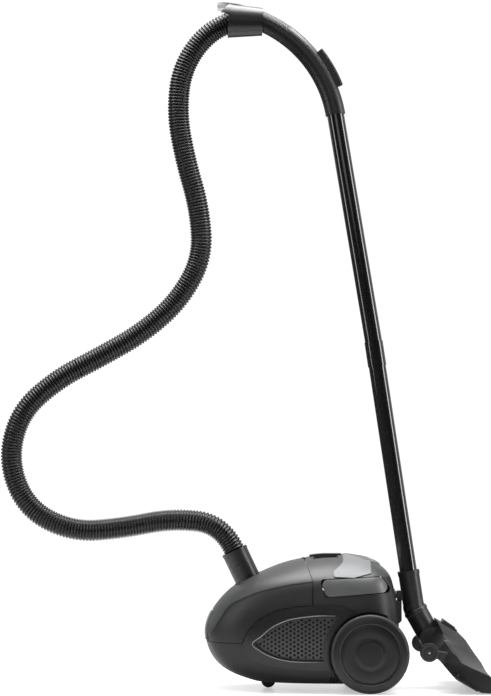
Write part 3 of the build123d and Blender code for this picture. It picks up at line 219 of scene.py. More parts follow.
finishes = {
    "charcoalShell": {"tone": 0.055, "gloss": (0.3, 0.4), "bump": 0.08, "dust": 0.04, "shine": 0.32},
    # painted shade for the shell's sides below the crease: its tone sets how dark, its gloss how rough
    "shadedSidePanel": {"tone": 0.017, "gloss": (0.36, 0.48), "bump": 0.12, "dust": 0.02},
    "lowerShell": {"tone": 0.014, "gloss": (0.34, 0.46), "bump": 0.1, "dust": 0.02, "shine": 0.3},
    "padPlastic": {"tone": 0.075, "gloss": (0.26, 0.36), "bump": 0.06, "dust": 0.03},
    "trimPlastic": {"tone": 0.013, "gloss": (0.24, 0.34), "bump": 0.06, "dust": 0.03, "shine": 0.35},
    # painted highlight: a light, glossy tone for edges drawn to read as lit bevels
    "edgeHighlightPlastic": {"tone": 0.16, "gloss": (0.16, 0.24), "bump": 0.03, "dust": 0.01, "coat": 0.4},
    "grillePlastic": {"tone": 0.034, "gloss": (0.36, 0.5), "bump": 0.1, "dust": 0.06},
    "silverPlastic": {"tone": 0.2, "gloss": (0.3, 0.4), "bump": 0.04, "dust": 0.02, "shine": 0.35},
    # painted highlight: a light tone for the dial's rims
    "rimHighlightPlastic": {"tone": 0.34, "gloss": (0.24, 0.32), "bump": 0.03, "dust": 0.02},
    "dialPlastic": {"tone": 0.3, "gloss": (0.26, 0.34), "bump": 0.03, "dust": 0.02},
    "blackPlastic": {"tone": 0.013, "gloss": (0.3, 0.42), "bump": 0.12, "dust": 0.05},
    # painted shade: near-black for the recess under the carry handle and the gap round the dial
    "paintedSlotShade": {"tone": 0.004, "gloss": (0.5, 0.65), "bump": 0.1, "dust": 0.0},
    "hoseSkin": {"tone": 0.007, "gloss": (0.2, 0.3), "bump": 0.04, "dust": 0.03},
    "tubeEnamel": {"tone": 0.008, "gloss": (0.1, 0.16), "bump": 0.015, "dust": 0.01, "coat": 0.6},
    "wheelPlastic": {"tone": 0.014, "gloss": (0.26, 0.36), "bump": 0.1, "dust": 0.03, "shine": 0.35},
    "wheelHub": {"tone": 0.01, "gloss": (0.4, 0.5), "bump": 0.12, "dust": 0.03, "shine": 0.3},
    "treadBand": {"tone": 0.022, "gloss": (0.42, 0.56), "bump": 0.2, "dust": 0.08, "grain": 1200.0},
    "nozzlePlastic": {"tone": 0.015, "gloss": (0.3, 0.4), "bump": 0.12, "dust": 0.04},
    "bareSteel": {"tone": 0.55, "gloss": (0.2, 0.35), "bump": 0.05, "dust": 0.02, "metal": 1.0},
    "innerPlastic": {"tone": 0.16, "gloss": (0.4, 0.55), "bump": 0.1, "dust": 0.1},
    # the foam's own dark tone, darkened further as painted shade so the grille holes read dark
    "shadedFilterFoam": {"tone": 0.003, "gloss": (0.8, 0.95), "bump": 0.9, "dust": 0.1, "grain": 700.0},
    "bagPaper": {"tone": 0.5, "gloss": (0.8, 0.9), "bump": 0.3, "dust": 0.1, "warm": 1.35, "grain": 900.0},
    "softRubber": {"tone": 0.014, "gloss": (0.5, 0.65), "bump": 0.2, "dust": 0.06},
    "windowTint": {"tone": 0.004, "gloss": (0.05, 0.1), "bump": 0.01, "dust": 0.01, "coat": 1.0},
    "bristle": {"tone": 0.02, "gloss": (0.5, 0.7), "bump": 0.5, "dust": 0.2, "grain": 900.0},
}
materials = {name: mouldedMaterial(name, look) for name, look in finishes.items()}
print("materials made:", len(materials))

# painted shade: the shell's sides are darkened, and made rougher, below a crease that runs from the nose over
# the pads; the darkening stands in for the upright sides getting less of the overhead light
crease = {
    "from": -0.27, "to": 0.10, "low": 0.05, "high": 0.25, "soft": 0.0012,
    "line": [(-0.270, 0.070), (-0.256, 0.090), (-0.244, 0.107), (-0.229, 0.133), (-0.212, 0.155),
             (-0.188, 0.169), (-0.163, 0.179), (-0.108, 0.193), (-0.062, 0.200), (-0.049, 0.202),
             (0.062, 0.2065), (0.100, 0.206)],
}


def shadedSideShell(name, upper, lower):
    # the upper finish's material, with tone and gloss mixed to the lower one's under the crease; the darker
    # tone there is painted shade
    material = mouldedMaterial(name, finishes[upper])
    tree = material.node_tree
    shader = tree.nodes["Principled BSDF"]
    place = tree.nodes.new("ShaderNodeTexCoord")
    axes = tree.nodes.new("ShaderNodeSeparateXYZ")
    link(tree, place, "Object", axes, "Vector")
    along = mapRange(tree, 0.0, 1.0)
    along.inputs["From Min"].default_value = crease["from"]
    along.inputs["From Max"].default_value = crease["to"]
    link(tree, axes, "X", along, "Value")
    curve = tree.nodes.new("ShaderNodeFloatCurve")
    points = curve.mapping.curves[0].points
    spots = [((x - crease["from"]) / (crease["to"] - crease["from"]),
              (z - crease["low"]) / (crease["high"] - crease["low"])) for x, z in crease["line"]]
    points[0].location, points[1].location = spots[0], spots[-1]
    for spot in spots[1:-1]:
        points.new(*spot)
    curve.mapping.update()
    link(tree, along, "Result", curve, "Value")
    height = mapRange(tree, crease["low"], crease["high"])
    link(tree, curve, "Value", height, "Value")
    above = tree.nodes.new("ShaderNodeMath")
    above.operation = "SUBTRACT"
    link(tree, axes, "Z", above, 0)
    link(tree, height, "Result", above, 1)
    mask = mapRange(tree, 1.0, 0.0)
    mask.inputs["From Min"].default_value = -crease["soft"]
    mask.inputs["From Max"].default_value = crease["soft"]
    link(tree, above, "Value", mask, "Value")
    # painted shade: the base colour is multiplied darker under the crease
    ratio = finishes[lower]["tone"] / finishes[upper]["tone"]
    paintedSideShade = tree.nodes.new("ShaderNodeMix")
    paintedSideShade.data_type = "RGBA"
    paintedSideShade.blend_type = "MULTIPLY"
    paintedSideShade.inputs["B"].default_value = (ratio, ratio, ratio, 1)
    source = shader.inputs["Base Color"].links[0].from_socket
    link(tree, mask, "Result", paintedSideShade, "Factor")
    tree.links.new(source, paintedSideShade.inputs["A"])
    tree.links.new(paintedSideShade.outputs["Result"], shader.inputs["Base Color"])
    rougher = tree.nodes.new("ShaderNodeMath")
    rougher.operation = "MULTIPLY_ADD"
    gloss = shader.inputs["Roughness"].links[0].from_socket
    link(tree, mask, "Result", rougher, 0)
    rougher.inputs[1].default_value = finishes[lower]["gloss"][0] - finishes[upper]["gloss"][0]
    tree.links.new(gloss, rougher.inputs[2])
    link(tree, rougher, "Value", shader, "Roughness")
    return material


materials["shadedSideShell"] = shadedSideShell("shadedSideShell", "charcoalShell", "shadedSidePanel")

nodeFinish = {
    "charcoalShell": ["carry_handle"],
    # hood and rear housing carry the painted side shade below the crease
    "shadedSideShell": ["front_hood", "rear_housing"],
    "lowerShell": ["lower_housing"],
    "padPlastic": ["power_pad", "rewind_pad"],
    "trimPlastic": ["grille_trims"],
    "grillePlastic": ["grilles"],
    "silverPlastic": ["top_insert", "lid_latch"],
    "dialPlastic": ["power_dial"],
    # painted shade: the well under the carry handle is near-black
    "paintedSlotShade": ["handle_well"],
    "blackPlastic": ["park_rail", "intake_socket", "hose_cuff", "cuff_button_left",
                     "cuff_button_right", "castor_fork", "elbow_sleeve", "handle_grip", "handle_collar",
                     "nozzle_base"],
    "wheelPlastic": ["wheel_left", "wheel_right", "hub_cap_left", "hub_cap_right", "relief_slider"],
    "treadBand": ["tread_left", "tread_right", "castor_wheel", "nozzle_wheel_left", "nozzle_wheel_right"],
    "nozzlePlastic": ["swivel_neck", "nozzle_cover", "nozzle_pedal"],
    "tubeEnamel": ["lower_tube", "upper_tube"],
    "bareSteel": ["wheel_axles", "housing_screws", "hinge_pin", "motor_rotor", "motor_fan", "motor_stator",
                  "motor_bearings"],
    "innerPlastic": ["bulkhead", "motor_case", "reel_bracket", "speed_board", "cord_reel"],
    "shadedFilterFoam": ["exhaust_filters", "motor_filter"],
    "bagPaper": ["dust_bag", "bag_collar"],
    "softRubber": ["cord_gland", "intake_seal", "wound_cord"],
    "windowTint": ["indicator_window"],
    "bristle": ["brush_strip"],
}
for finish, names in nodeFinish.items():
    for name in names:
        mesh = nodes[name].data
        mesh.materials.clear()
        mesh.materials.append(materials[finish])


# hose: one centreline, two corrugated pieces that meet in a valley
hose = {
    "route": [(-0.205, 0.252), (-0.228, 0.300), (-0.320, 0.310), (-0.412, 0.292), (-0.503, 0.285),
              (-0.587, 0.327), (-0.623, 0.414), (-0.602, 0.505), (-0.533, 0.567), (-0.454, 0.608),
              (-0.375, 0.653), (-0.307, 0.713), (-0.263, 0.794), (-0.270, 0.886), (-0.295, 0.972),
              (-0.312, 1.062), (-0.301, 1.153), (-0.242, 1.226), (-0.196, 1.235)],
    "splitNear": (-0.4935, 0.5875),
    "radius": 0.020,
    "valley": 0.0029,
    "pitch": 0.0056,
    "stepsPerRib": 8,
    "sides": 48,
}


def readSpline(name, points):
    # the line of a NURBS spline through these control points, read back as mesh points
    curve = bpy.data.curves.new(name, "CURVE")
    curve.dimensions = "3D"
    curve.resolution_u = 48
    spline = curve.splines.new("NURBS")
    spline.points.add(len(points) - 1)
    for point, (x, z) in zip(spline.points, points):
        point.co = (x, 0.0, z, 1.0)
    spline.order_u = 3
    spline.use_endpoint_u = True
    holder = bpy.data.objects.new(name, curve)
    mesh = bpy.data.meshes.new_from_object(holder)
    line = [v.co.copy() for v in mesh.vertices]
    bpy.data.objects.remove(holder)
    bpy.data.meshes.remove(mesh)
    return line


def evenSteps(line, step):
    # walks a polyline in equal steps
    points, along = [line[0].copy()], 0.0
    total = sum((b - a).length for a, b in zip(line, line[1:]))
    count = round(total / step)
    step = total / count
    target = step
    for a, b in zip(line, line[1:]):
        span = (b - a).length
        while along + span >= target - 1e-9 and len(points) <= count:
            points.append(a.lerp(b, (target - along) / span))
            target += step
        along += span
    return points, total


def ribShape(share):
    # 0 in the valley, 1 on the crest, with steep flanks and a rounded top
    wave = 0.5 - 0.5 * math.cos(2 * math.pi * share)
    return wave ** 0.55


def ribbedTube(name, line, radiusAt, sides):
    # a tube in the plane Y = 0 whose radius changes along its length
    vertices, faces = [], []
    for index, point in enumerate(line):
        ahead = line[min(index + 1, len(line) - 1)] - line[max(index - 1, 0)]
        ahead.normalize()
        across = Vector((-ahead.z, 0.0, ahead.x))
        radius = radiusAt(index)
        for side in range(sides):
            turn = 2 * math.pi * side / sides
            sideways = Vector((0, radius * math.sin(turn), 0))
            vertices.append(point + across * (radius * math.cos(turn)) + sideways)
    for ring in range(len(line) - 1):
        for side in range(sides):
            a = ring * sides + side
            b = ring * sides + (side + 1) % sides
            faces.append((a, b, b + sides, a + sides))
    faces.append(tuple(reversed(range(sides))))
    last = (len(line) - 1) * sides
    faces.append(tuple(range(last, last + sides)))
    mesh = bpy.data.meshes.new(name)
    mesh.from_pydata([tuple(v) for v in vertices], [], faces)
    mesh.update()
    return mesh


def addPiece(name, mesh, finish):
    piece = bpy.data.objects.new(name, mesh)
    bpy.context.scene.collection.objects.link(piece)
    mesh.materials.append(materials[finish])
    mesh.polygons.foreach_set("use_smooth", [True] * len(mesh.polygons))
    return piece


hoseLine = readSpline("hoseRoute", hose["route"])
hosePoints, hoseLength = evenSteps(hoseLine, hose["pitch"] / hose["stepsPerRib"])
ribCount = round(hoseLength / hose["pitch"])
hosePoints, hoseLength = evenSteps(hoseLine, hoseLength / ribCount / hose["stepsPerRib"])
nearSplit = min(range(len(hosePoints)), key=lambda i: (
    hosePoints[i] - Vector((hose["splitNear"][0], 0, hose["splitNear"][1]))).length)
splitIndex = round(nearSplit / hose["stepsPerRib"]) * hose["stepsPerRib"]


def hosePiece(name, first, last, node):
    line = hosePoints[first:last + 1]

    def radiusAt(index):
        share = ((index + first) % hose["stepsPerRib"]) / hose["stepsPerRib"]
        return hose["radius"] - hose["valley"] * (1 - ribShape(share))

    mesh = ribbedTube(name, line, radiusAt, hose["sides"])
    piece = addPiece(name, mesh, "hoseSkin")
    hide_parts(node)
    return piece, line


lowerHose, lowerLine = hosePiece("hoseLowerRibbed", 0, splitIndex, "hose_lower")
upperHose, upperLine = hosePiece("hoseUpperRibbed", splitIndex, len(hosePoints) - 1, "hose_upper")
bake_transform(lowerHose)
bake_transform(upperHose)
print("hose made, length", round(hoseLength, 3))


def finishPiece(name, mesh, finish, body, replaces=(), bevel=0.0, segments=2, sharp=35):
    piece = bpy.data.objects.new(name, mesh)
    bpy.context.scene.collection.objects.link(piece)
    mesh.materials.append(materials[finish])
    mesh.polygons.foreach_set("use_smooth", [True] * len(mesh.polygons))
    mesh.set_sharp_from_angle(angle=math.radians(sharp))
    if bevel:
        edge = piece.modifiers.new("softEdges", "BEVEL")
        edge.width = bevel
        edge.segments = segments
        edge.angle_limit = math.radians(28)
        edge.harden_normals = True
    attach(piece, body)
    if replaces:
        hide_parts(*replaces)
    return piece


def closedMesh(name, vertices, faces):
    # joins doubled points and turns every face outwards
    mesh = bpy.data.meshes.new(name)
    mesh.from_pydata([tuple(v) for v in vertices], [], faces)
    work = bmesh.new()
    work.from_mesh(mesh)
    bmesh.ops.remove_doubles(work, verts=work.verts, dist=1e-6)
    bmesh.ops.recalc_face_normals(work, faces=work.faces)
    work.to_mesh(mesh)
    work.free()
    return mesh


def turnedMesh(name, profile, centre, axis, sides=120):
    # profile is a closed loop of (radius, place along the axis) in mm
    along = Vector(axis).normalized()
    across = Vector((0, 0, 1)) if abs(along.z) < 0.5 else Vector((1, 0, 0))
    across = (across - along * across.dot(along)).normalized()
    third = along.cross(across)
    vertices = []
    for radius, place in profile:
        for side in range(sides):
            turn = 2 * math.pi * side / sides
            out = across * math.cos(turn) + third * math.sin(turn)
            vertices.append(centre + (along * place + out * radius) * 0.001)
    faces = []
    for ring in range(len(profile)):
        after = (ring + 1) % len(profile)
        if profile[ring][0] == 0 and profile[after][0] == 0:
            continue
        for side in range(sides):
            nextSide = (side + 1) % sides
            faces.append((ring * sides + side, ring * sides + nextSide,
                          after * sides + nextSide, after * sides + side))
    return closedMesh(name, vertices, faces)


def loftMesh(name, sections):
    # closed sections with the same number of points, capped at both ends
    count = len(sections[0])
    vertices = [point for section in sections for point in section]
    faces = []
    for ring in range(len(sections) - 1):
        for side in range(count):
            nextSide = (side + 1) % count
            faces.append((ring * count + side, ring * count + nextSide,
                          (ring + 1) * count + nextSide, (ring + 1) * count + side))
    faces.append(tuple(range(count)))
    faces.append(tuple(range(len(vertices) - count, len(vertices))))
    return closedMesh(name, vertices, faces)


def outerFace(node, side):
    # the middle of a wheel's outer face
    low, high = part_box(node)
    return Vector(((low.x + high.x) / 2, low.y if side < 0 else high.y, (low.z + high.z) / 2))


# big wheels: a dished disc with a raised lip round it, a sunk hub and a grooved tread
bigWheel = {
    "disc": [(0, -3.2), (8, -3.0), (20, -2.7), (22.4, -2.9), (23.2, -4.6), (24.6, -5.2), (32, -4.8),
             (42, -4.3), (50, -5.0), (53.2, -6.0), (54.4, -5.2), (55.0, -1.4), (55.8, -0.6), (57, -0.5),
             (59, -0.8), (63, -1.4), (66, -2.3), (67.3, -3.4), (67.3, -28), (0, -28)],
    "hub": [(0, -1.9), (14, -2.1), (20.6, -2.5), (21.6, -3.3), (21.6, -4.4), (0, -4.4)],
    "tread": [(67.5, -3.3), (69, -3.8), (70.1, -5.0), (70.5, -7.0)]
    + [(70.5 - sink, -9.5 - step * 5 - along) for step in range(3)
       for sink, along in ((0, 0), (0.7, 0.5), (0.7, 1.1), (0, 1.6))]
    + [(70.5, -25), (69.8, -27.6), (67.5, -29)],
}
for sideName, side in (("Left", -1), ("Right", 1)):
    body = "wheel_" + sideName.lower()
    face = outerFace("tread_" + sideName.lower(), side)
    axis = (0, side, 0)
    for pieceName, part, sides, finish, node in (
            ("wheelDisc", "disc", 160, "wheelPlastic", body),
            ("wheelHub", "hub", 96, "wheelHub", "hub_cap_" + sideName.lower()),
            ("wheelTread", "tread", 160, "treadBand", "tread_" + sideName.lower())):
        mesh = turnedMesh(pieceName, bigWheel[part], face, axis, sides)
        finishPiece(pieceName + sideName, mesh, finish, body, (node,))
print("big wheels made")

# the nozzle's own wheels, ringed, with a bright axle end
smallWheel = {
    "disc": [(0, -1.2), (2.6, -1.2), (6, -1.4), (6.5, -0.5), (7.6, -0.5), (8, -1.6), (11.5, -1.7), (12, -0.4),
             (13.2, -0.1), (15.5, -0.5), (16.6, -1.3), (17, -2.6), (17, -7.8), (16, -9.4), (14, -9.8),
             (0, -9.8)],
    "axleEnd": [(0, 0.1), (1.7, -0.1), (2.1, -0.6), (2.1, -1.6), (0, -1.6)],
}
for sideName, side in (("Left", -1), ("Right", 1)):
    body = "nozzle_wheel_" + sideName.lower()
    face = outerFace(body, side)
    axis = (0, side, 0)
    finishPiece("nozzleWheel" + sideName, turnedMesh("nozzleWheel", smallWheel["disc"], face, axis, 72),
                "blackPlastic", body, (body,))
    axleEnd = turnedMesh("nozzleAxleEnd", smallWheel["axleEnd"], face, axis, 32)
    finishPiece("nozzleAxleEnd" + sideName, axleEnd, "bareSteel", "nozzle")
print("nozzle wheels made")

# nozzle cover: its end section turns into the tall middle section, in the nozzle's own slanted frame
nozzle = {
    "pivot": (0.15698, 0.09125),
    "pitch": 30.0,
    "end": [(54.7, -36.0), (24.5, -24.0), (31.5, 2.5), (44, -1.2), (56.7, -7.3), (75, -6.0), (93, -4.4),
            (111, -2.5), (117.3, -3.1), (131.8, -28.2), (114.3, -36.5)],
    "middle": [(54.7, -36.0), (-9, -14), (-4, 22.6), (-11, 35.0), (35.2, 34.6), (56.2, 28.6),
               (75.5, 18.8), (100.7, 7.6), (117.3, -3.1), (131.8, -28.2), (114.3, -36.5)],
    # how far across, and how much of the middle section is left there
    "blend": [(0, 1.0), (24, 1.0), (31, 0.95), (36, 0.84), (46, 0.56), (58, 0.34), (72, 0.19), (88, 0.08),
              (104, 0.02), (118, 0.0), (126.5, 0.0), (128, 0.0)],
    "endDraft": 0.965,
    "draftCentre": (80, -20),
    # the rear corners are cut back in plan: width kept at the rear edge, where that starts, how far it runs
    "rearWidth": 0.7,
    "rearFrom": 22,
    "rearRun": 34.7,
    "arm": [(-2, -17), (4, -29), (23.5, -24), (36, -28), (34, -4), (20, -9)],
    "armSpan": (80, 99),
}


def nozzlePoint(x, y, z):
    # from the nozzle's frame, in mm, to the row frame
    turn = math.radians(nozzle["pitch"])
    return Vector((nozzle["pivot"][0] + (x * math.cos(turn) + z * math.sin(turn)) * 0.001, y * 0.001,
                   nozzle["pivot"][1] + (-x * math.sin(turn) + z * math.cos(turn)) * 0.001))


def nozzleSection(y, share, draft):
    section = []
    centreX, centreZ = nozzle["draftCentre"]
    for (endX, endZ), (midX, midZ) in zip(nozzle["end"], nozzle["middle"]):
        x = endX + (midX - endX) * share
        z = endZ + (midZ - endZ) * share
        x = centreX + (x - centreX) * draft
        z = centreZ + (z - centreZ) * draft
        forward = min(1.0, max(0.0, (x - nozzle["rearFrom"]) / nozzle["rearRun"]))
        inset = nozzle["rearWidth"] + (1 - nozzle["rearWidth"]) * forward
        section.append(nozzlePoint(x, y * inset, z))
    return section


stations = [(y, share, 1.0) for y, share in nozzle["blend"]]
stations[-1] = (*nozzle["blend"][-1], nozzle["endDraft"])
stations = [(-y, share, draft) for y, share, draft in reversed(stations)] + stations[1:]
finishPiece("nozzleCover", loftMesh("nozzleCover", [nozzleSection(*station) for station in stations]),
            "nozzlePlastic", "nozzle", ("nozzle_cover",), bevel=0.0012, segments=3, sharp=22)
for sideName, side in (("Left", -1), ("Right", 1)):
    arm = loftMesh("nozzleArm", [[nozzlePoint(x, side * y, z) for x, z in nozzle["arm"]]
                                 for y in nozzle["armSpan"]])
    finishPiece("nozzleArm" + sideName, arm, "nozzlePlastic", "nozzle", bevel=0.0015)

# ridges across the pedal, which slopes down to the front
ridges = {"first": 2.4, "pitch": 4.8, "count": 5, "half": 20.0, "rise": 3.2, "foot": 38.2, "slope": 0.09}
for index in range(ridges["count"]):
    x = ridges["first"] + index * ridges["pitch"]
    z = ridges["foot"] - ridges["slope"] * x
    outline = [(x, z), (x + 0.6, z + ridges["rise"]), (x + 2.4, z + ridges["rise"]), (x + 3.4, z)]
    finishPiece("pedalRidge%d" % (index + 1), loftMesh("pedalRidge", [
        [nozzlePoint(px, y, pz) for px, pz in outline] for y in (-ridges["half"], ridges["half"])]),
        "blackPlastic", "nozzle_pedal", bevel=0.0005)
print("nozzle made")

# fine ribs along the grip's upper half
grip = {"centre": (-0.2446, 1.0208), "bend": 231.0, "radius": 18.5, "start": 88.0, "end": 50.0, "ribs": 8,
        "first": 18.0, "step": 7.5, "thickness": 0.55, "stations": 36}


def gripRib(angle, side):
    # one raised line at this angle round the grip's section, measured from its outer edge
    sections = []
    lean = math.radians(angle)
    sideways = Vector((0, side, 0))
    for index in range(grip["stations"] + 1):
        share = index / grip["stations"]
        turn = math.radians(grip["start"] + (grip["end"] - grip["start"]) * share)
        outward = Vector((math.cos(turn), 0, math.sin(turn)))
        middle = Vector((grip["centre"][0], 0, grip["centre"][1])) + outward * grip["bend"] * 0.001
        normal = outward * math.cos(lean) + sideways * math.sin(lean)
        around = sideways * math.cos(lean) - outward * math.sin(lean)
        taper = min(1.0, 8 * share, 8 * (1 - share))
        section = []
        for step in range(8):
            spin = 2 * math.pi * step / 8
            lift = grip["radius"] - 0.25 + grip["thickness"] * math.cos(spin) * taper
            section.append(middle + (normal * lift + around * grip["thickness"] * math.sin(spin)) * 0.001)
        sections.append(section)
    return sections


for sideName, side in (("Left", -1), ("Right", 1)):
    for index in range(grip["ribs"]):
        mesh = loftMesh("gripRib", gripRib(grip["first"] + grip["step"] * index, side))
        finishPiece("gripRib%s%d" % (sideName, index + 1), mesh, "blackPlastic", "wand")
print("grip ribs made")


# thin lines laid on the shell's surface

def surfaceTree(names):
    vertices, faces = [], []
    for name in names:
        mesh = nodes[name].data
        base = len(vertices)
        vertices += [v.co.copy() for v in mesh.vertices]
        faces += [[base + index for index in polygon.vertices] for polygon in mesh.polygons]
    return BVHTree.FromPolygons(vertices, faces)


def smoothLine(points, steps):
    # an even Catmull-Rom line through these (x, z) points
    line = []
    count = len(points)
    for index in range(count - 1):
        a, b, c, d = (Vector(points[min(max(index + k, 0), count - 1)]) for k in (-1, 0, 1, 2))
        for step in range(steps):
            t = step / steps
            line.append(0.5 * (2 * b + (c - a) * t + (2 * a - 5 * b + 4 * c - d) * t ** 2
                               + (3 * b - 3 * c + d - a) * t ** 3))
    line.append(Vector(points[-1]))
    return line


def tubeMesh(name, line, radius, closed, sides=8):
    sections = []
    count = len(line)
    normal = Vector((0, 1, 0))
    for index, point in enumerate(line):
        ahead = line[(index + 1) % count] if closed else line[min(index + 1, count - 1)]
        behind = line[index - 1] if closed else line[max(index - 1, 0)]
        along = (ahead - behind).normalized()
        normal = (normal - along * normal.dot(along)).normalized()
        other = along.cross(normal)
        taper = 1.0 if closed else min(1.0, 0.25 + 6 * index / count, 0.25 + 6 * (count - 1 - index) / count)
        sections.append([point + (normal * math.cos(2 * math.pi * side / sides)
                                  + other * math.sin(2 * math.pi * side / sides)) * radius * taper
                         for side in range(sides)])
    if not closed:
        return loftMesh(name, sections)
    vertices = [point for section in sections for point in section]
    faces = []
    for ring in range(count):
        for side in range(sides):
            nextSide = (side + 1) % sides
            after = (ring + 1) % count
            faces.append((ring * sides + side, ring * sides + nextSide,
                          after * sides + nextSide, after * sides + side))
    return closedMesh(name, vertices, faces)


def sideDrape(tree, line, side):
    # casts each (x, z) point inwards from this side onto the surface
    found = []
    for point in line:
        place = tree.ray_cast(Vector((point.x, side * 0.3, point.y)), Vector((0, -side, 0)))[0]
        if place is not None and abs(place.y) > 0.02:
            found.append(place)
    return found


# the raised lip round each grille opening, from its front point along its upper and lower edges, in a light
# glossy finish as a painted highlight of the lit bevel
grilleLip = {
    "upper": [(-0.1715, 0.0862), (-0.155, 0.1018), (-0.134, 0.1188), (-0.107, 0.131), (-0.0727, 0.137),
              (-0.045, 0.139), (-0.022, 0.1385)],
    "lower": [(-0.1715, 0.0862), (-0.152, 0.0713), (-0.131, 0.0622), (-0.107, 0.0571),
              (-0.0797, 0.0555), (-0.0455, 0.0555)],
    "radius": 0.0011,
    "steps": 12,
}
trimTree = surfaceTree(["grille_trims"])
for sideName, side in (("Left", -1), ("Right", 1)):
    lip = smoothLine(grilleLip["upper"][::-1] + grilleLip["lower"][1:], grilleLip["steps"])
    mesh = tubeMesh("grilleLip", sideDrape(trimTree, lip, side), grilleLip["radius"], False)
    finishPiece("grilleLip" + sideName, mesh, "edgeHighlightPlastic", "canister")
print("grille lips made")

# rings round the dial, laid on the saddle and the shell behind it: the light rings are painted highlights on
# the rims, the near-black one painted shadow in the gap
dialRings = {
    "centre": (0.022, 0.0),
    "steps": 96,
    "castFrom": 0.4,
    # name, radius, thickness, finish, first and last degree
    "rings": [("dialRingInner", 0.0285, 0.0010, "rimHighlightPlastic", 0, 360),
              ("dialRingOuter", 0.0420, 0.0011, "rimHighlightPlastic", -80, 80),
              # painted shadow: a near-black line in the gap round the dial
              ("dialGapShade", 0.0385, 0.0007, "paintedSlotShade", -85, 85)],
}
topTree = surfaceTree(["top_insert", "rear_housing"])
for name, radius, thickness, finish, first, last in dialRings["rings"]:
    line = []
    for step in range(dialRings["steps"] + 1):
        turn = math.radians(first + (last - first) * step / dialRings["steps"])
        x = dialRings["centre"][0] + radius * math.cos(turn)
        y = radius * math.sin(turn)
        place = topTree.ray_cast(Vector((x, y, dialRings["castFrom"])), Vector((0, 0, -1)))[0]
        if place is not None:
            line.append(place)
    closed = last - first == 360
    finishPiece(name, tubeMesh(name, line[:-1] if closed else line, thickness, closed), finish, "canister")
print("dial rings made")

# floor and light
studio = {"floorHalf": 40.0, "fadeStart": 0.55, "fadeEnd": 1.5, "glow": 0.45, "floorBounce": 0.1,
          "worldFront": 0.02, "worldBack": 0.6, "worldTop": 0.5, "white": 1.05}


def makeFloor():
    mesh = bpy.data.meshes.new("studioFloor")
    half = studio["floorHalf"]
    corners = [(-half, -half, 0), (half, -half, 0), (half, half, 0), (-half, half, 0)]
    mesh.from_pydata(corners, [], [(0, 1, 2, 3)])
    floor = bpy.data.objects.new("studioFloor", mesh)
    bpy.context.scene.collection.objects.link(floor)
    floor.location.z = -0.0005
    material = bpy.data.materials.new("paleFloor")
    material.use_nodes = True
    tree = material.node_tree
    shader = tree.nodes["Principled BSDF"]
    noise = tree.nodes.new("ShaderNodeTexNoise")
    noise.inputs["Scale"].default_value = 3.0
    tone = tree.nodes.new("ShaderNodeMix")
    tone.data_type = "RGBA"
    tone.inputs["A"].default_value = (0.88, 0.88, 0.88, 1)
    tone.inputs["B"].default_value = (0.92, 0.92, 0.92, 1)
    link(tree, noise, "Fac", tone, "Factor")
    tree.links.new(tone.outputs["Result"], shader.inputs["Base Color"])
    shader.inputs["Roughness"].default_value = 0.2
    shader.inputs["Specular IOR Level"].default_value = 0.35
    shader.inputs["Emission Color"].default_value = (1, 1, 1, 1)
    path = tree.nodes.new("ShaderNodeLightPath")
    glow = mapRange(tree, 0.0, studio["glow"])
    link(tree, path, "Is Camera Ray", glow, "Value")
    link(tree, glow, "Result", shader, "Emission Strength")
    # the floor turns to plain white light away from the object, so no horizon shows
    place = tree.nodes.new("ShaderNodeTexCoord")
    length = tree.nodes.new("ShaderNodeVectorMath")
    length.operation = "LENGTH"
    link(tree, place, "Object", length, 0)
    fade = mapRange(tree, 0.0, 1.0)
    fade.interpolation_type = "SMOOTHSTEP"
    fade.inputs["From Min"].default_value = studio["fadeStart"]
    fade.inputs["From Max"].default_value = studio["fadeEnd"]
    link(tree, length, "Value", fade, "Value")
    white = tree.nodes.new("ShaderNodeEmission")
    seen = mapRange(tree, studio["floorBounce"], studio["white"])
    link(tree, path, "Is Camera Ray", seen, "Value")
    link(tree, seen, "Result", white, "Strength")
    mix = tree.nodes.new("ShaderNodeMixShader")
    link(tree, fade, "Result", mix, 0)
    tree.links.new(shader.outputs[0], mix.inputs[1])
    tree.links.new(white.outputs[0], mix.inputs[2])
    tree.links.new(mix.outputs[0], tree.nodes["Material Output"].inputs["Surface"])
    mesh.materials.append(material)


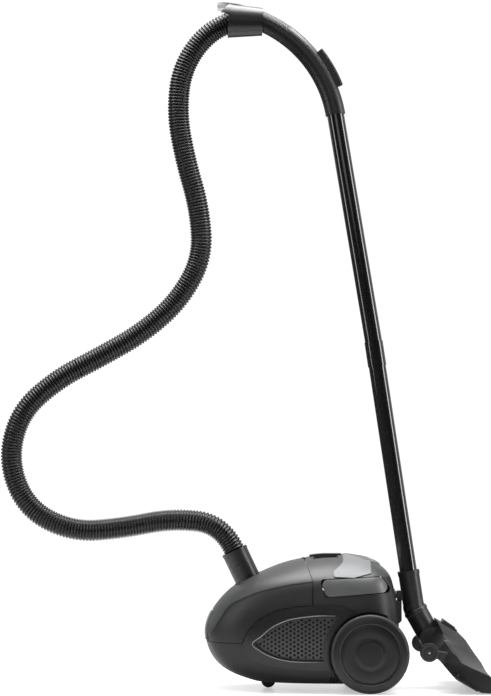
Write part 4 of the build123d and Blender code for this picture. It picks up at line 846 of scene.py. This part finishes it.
def makeWorld():
    # white to the eye; what the object reflects is dark in front, bright behind and overhead
    world = bpy.data.worlds.new("studioWorld")
    bpy.context.scene.world = world
    world.use_nodes = True
    tree = world.node_tree
    background = tree.nodes["Background"]
    output = tree.nodes["World Output"]
    place = tree.nodes.new("ShaderNodeTexCoord")
    axes = tree.nodes.new("ShaderNodeSeparateXYZ")
    link(tree, place, "Generated", axes, "Vector")
    front = mapRange(tree, studio["worldFront"], studio["worldBack"])
    front.inputs["From Min"].default_value = -0.7
    front.inputs["From Max"].default_value = 0.5
    link(tree, axes, "Y", front, "Value")
    top = mapRange(tree, 0.0, studio["worldTop"])
    top.inputs["From Min"].default_value = 0.25
    link(tree, axes, "Z", top, "Value")
    total = tree.nodes.new("ShaderNodeMath")
    total.operation = "ADD"
    link(tree, front, "Result", total, 0)
    link(tree, top, "Result", total, 1)
    tree.links.new(total.outputs["Value"], background.inputs["Strength"])
    white = tree.nodes.new("ShaderNodeBackground")
    white.inputs["Strength"].default_value = studio["white"]
    white.inputs["Color"].default_value = (1, 1, 1, 1)
    background.inputs["Color"].default_value = (1, 1, 1, 1)
    path = tree.nodes.new("ShaderNodeLightPath")
    mix = tree.nodes.new("ShaderNodeMixShader")
    link(tree, path, "Is Camera Ray", mix, "Fac")
    tree.links.new(background.outputs[0], mix.inputs[1])
    tree.links.new(white.outputs[0], mix.inputs[2])
    tree.links.new(mix.outputs[0], output.inputs["Surface"])


def areaLight(name, at, aimAt, size, power):
    data = bpy.data.lights.new(name, "AREA")
    data.shape = "RECTANGLE"
    data.size, data.size_y = size
    data.energy = power
    lamp = bpy.data.objects.new(name, data)
    lamp.location = at
    lamp.rotation_euler = (Vector(aimAt) - Vector(at)).to_track_quat("-Z", "Y").to_euler()
    bpy.context.scene.collection.objects.link(lamp)


makeFloor()
makeWorld()
areaLight("overhead", (-0.1, 0.15, 2.3), (-0.1, 0.0, 0.2), (2.0, 1.0), 84)
areaLight("sideLeft", (-2.4, -0.9, 1.2), (-0.1, 0.0, 0.4), (0.5, 2.0), 16)
areaLight("sideRight", (2.3, -0.5, 1.1), (0.0, 0.0, 0.4), (0.6, 2.2), 34)
areaLight("frontFill", (-0.4, -3.4, 1.6), (-0.1, 0.0, 0.5), (1.6, 1.0), 6)
bpy.context.scene.view_settings.view_transform = "Standard"
print("studio made")
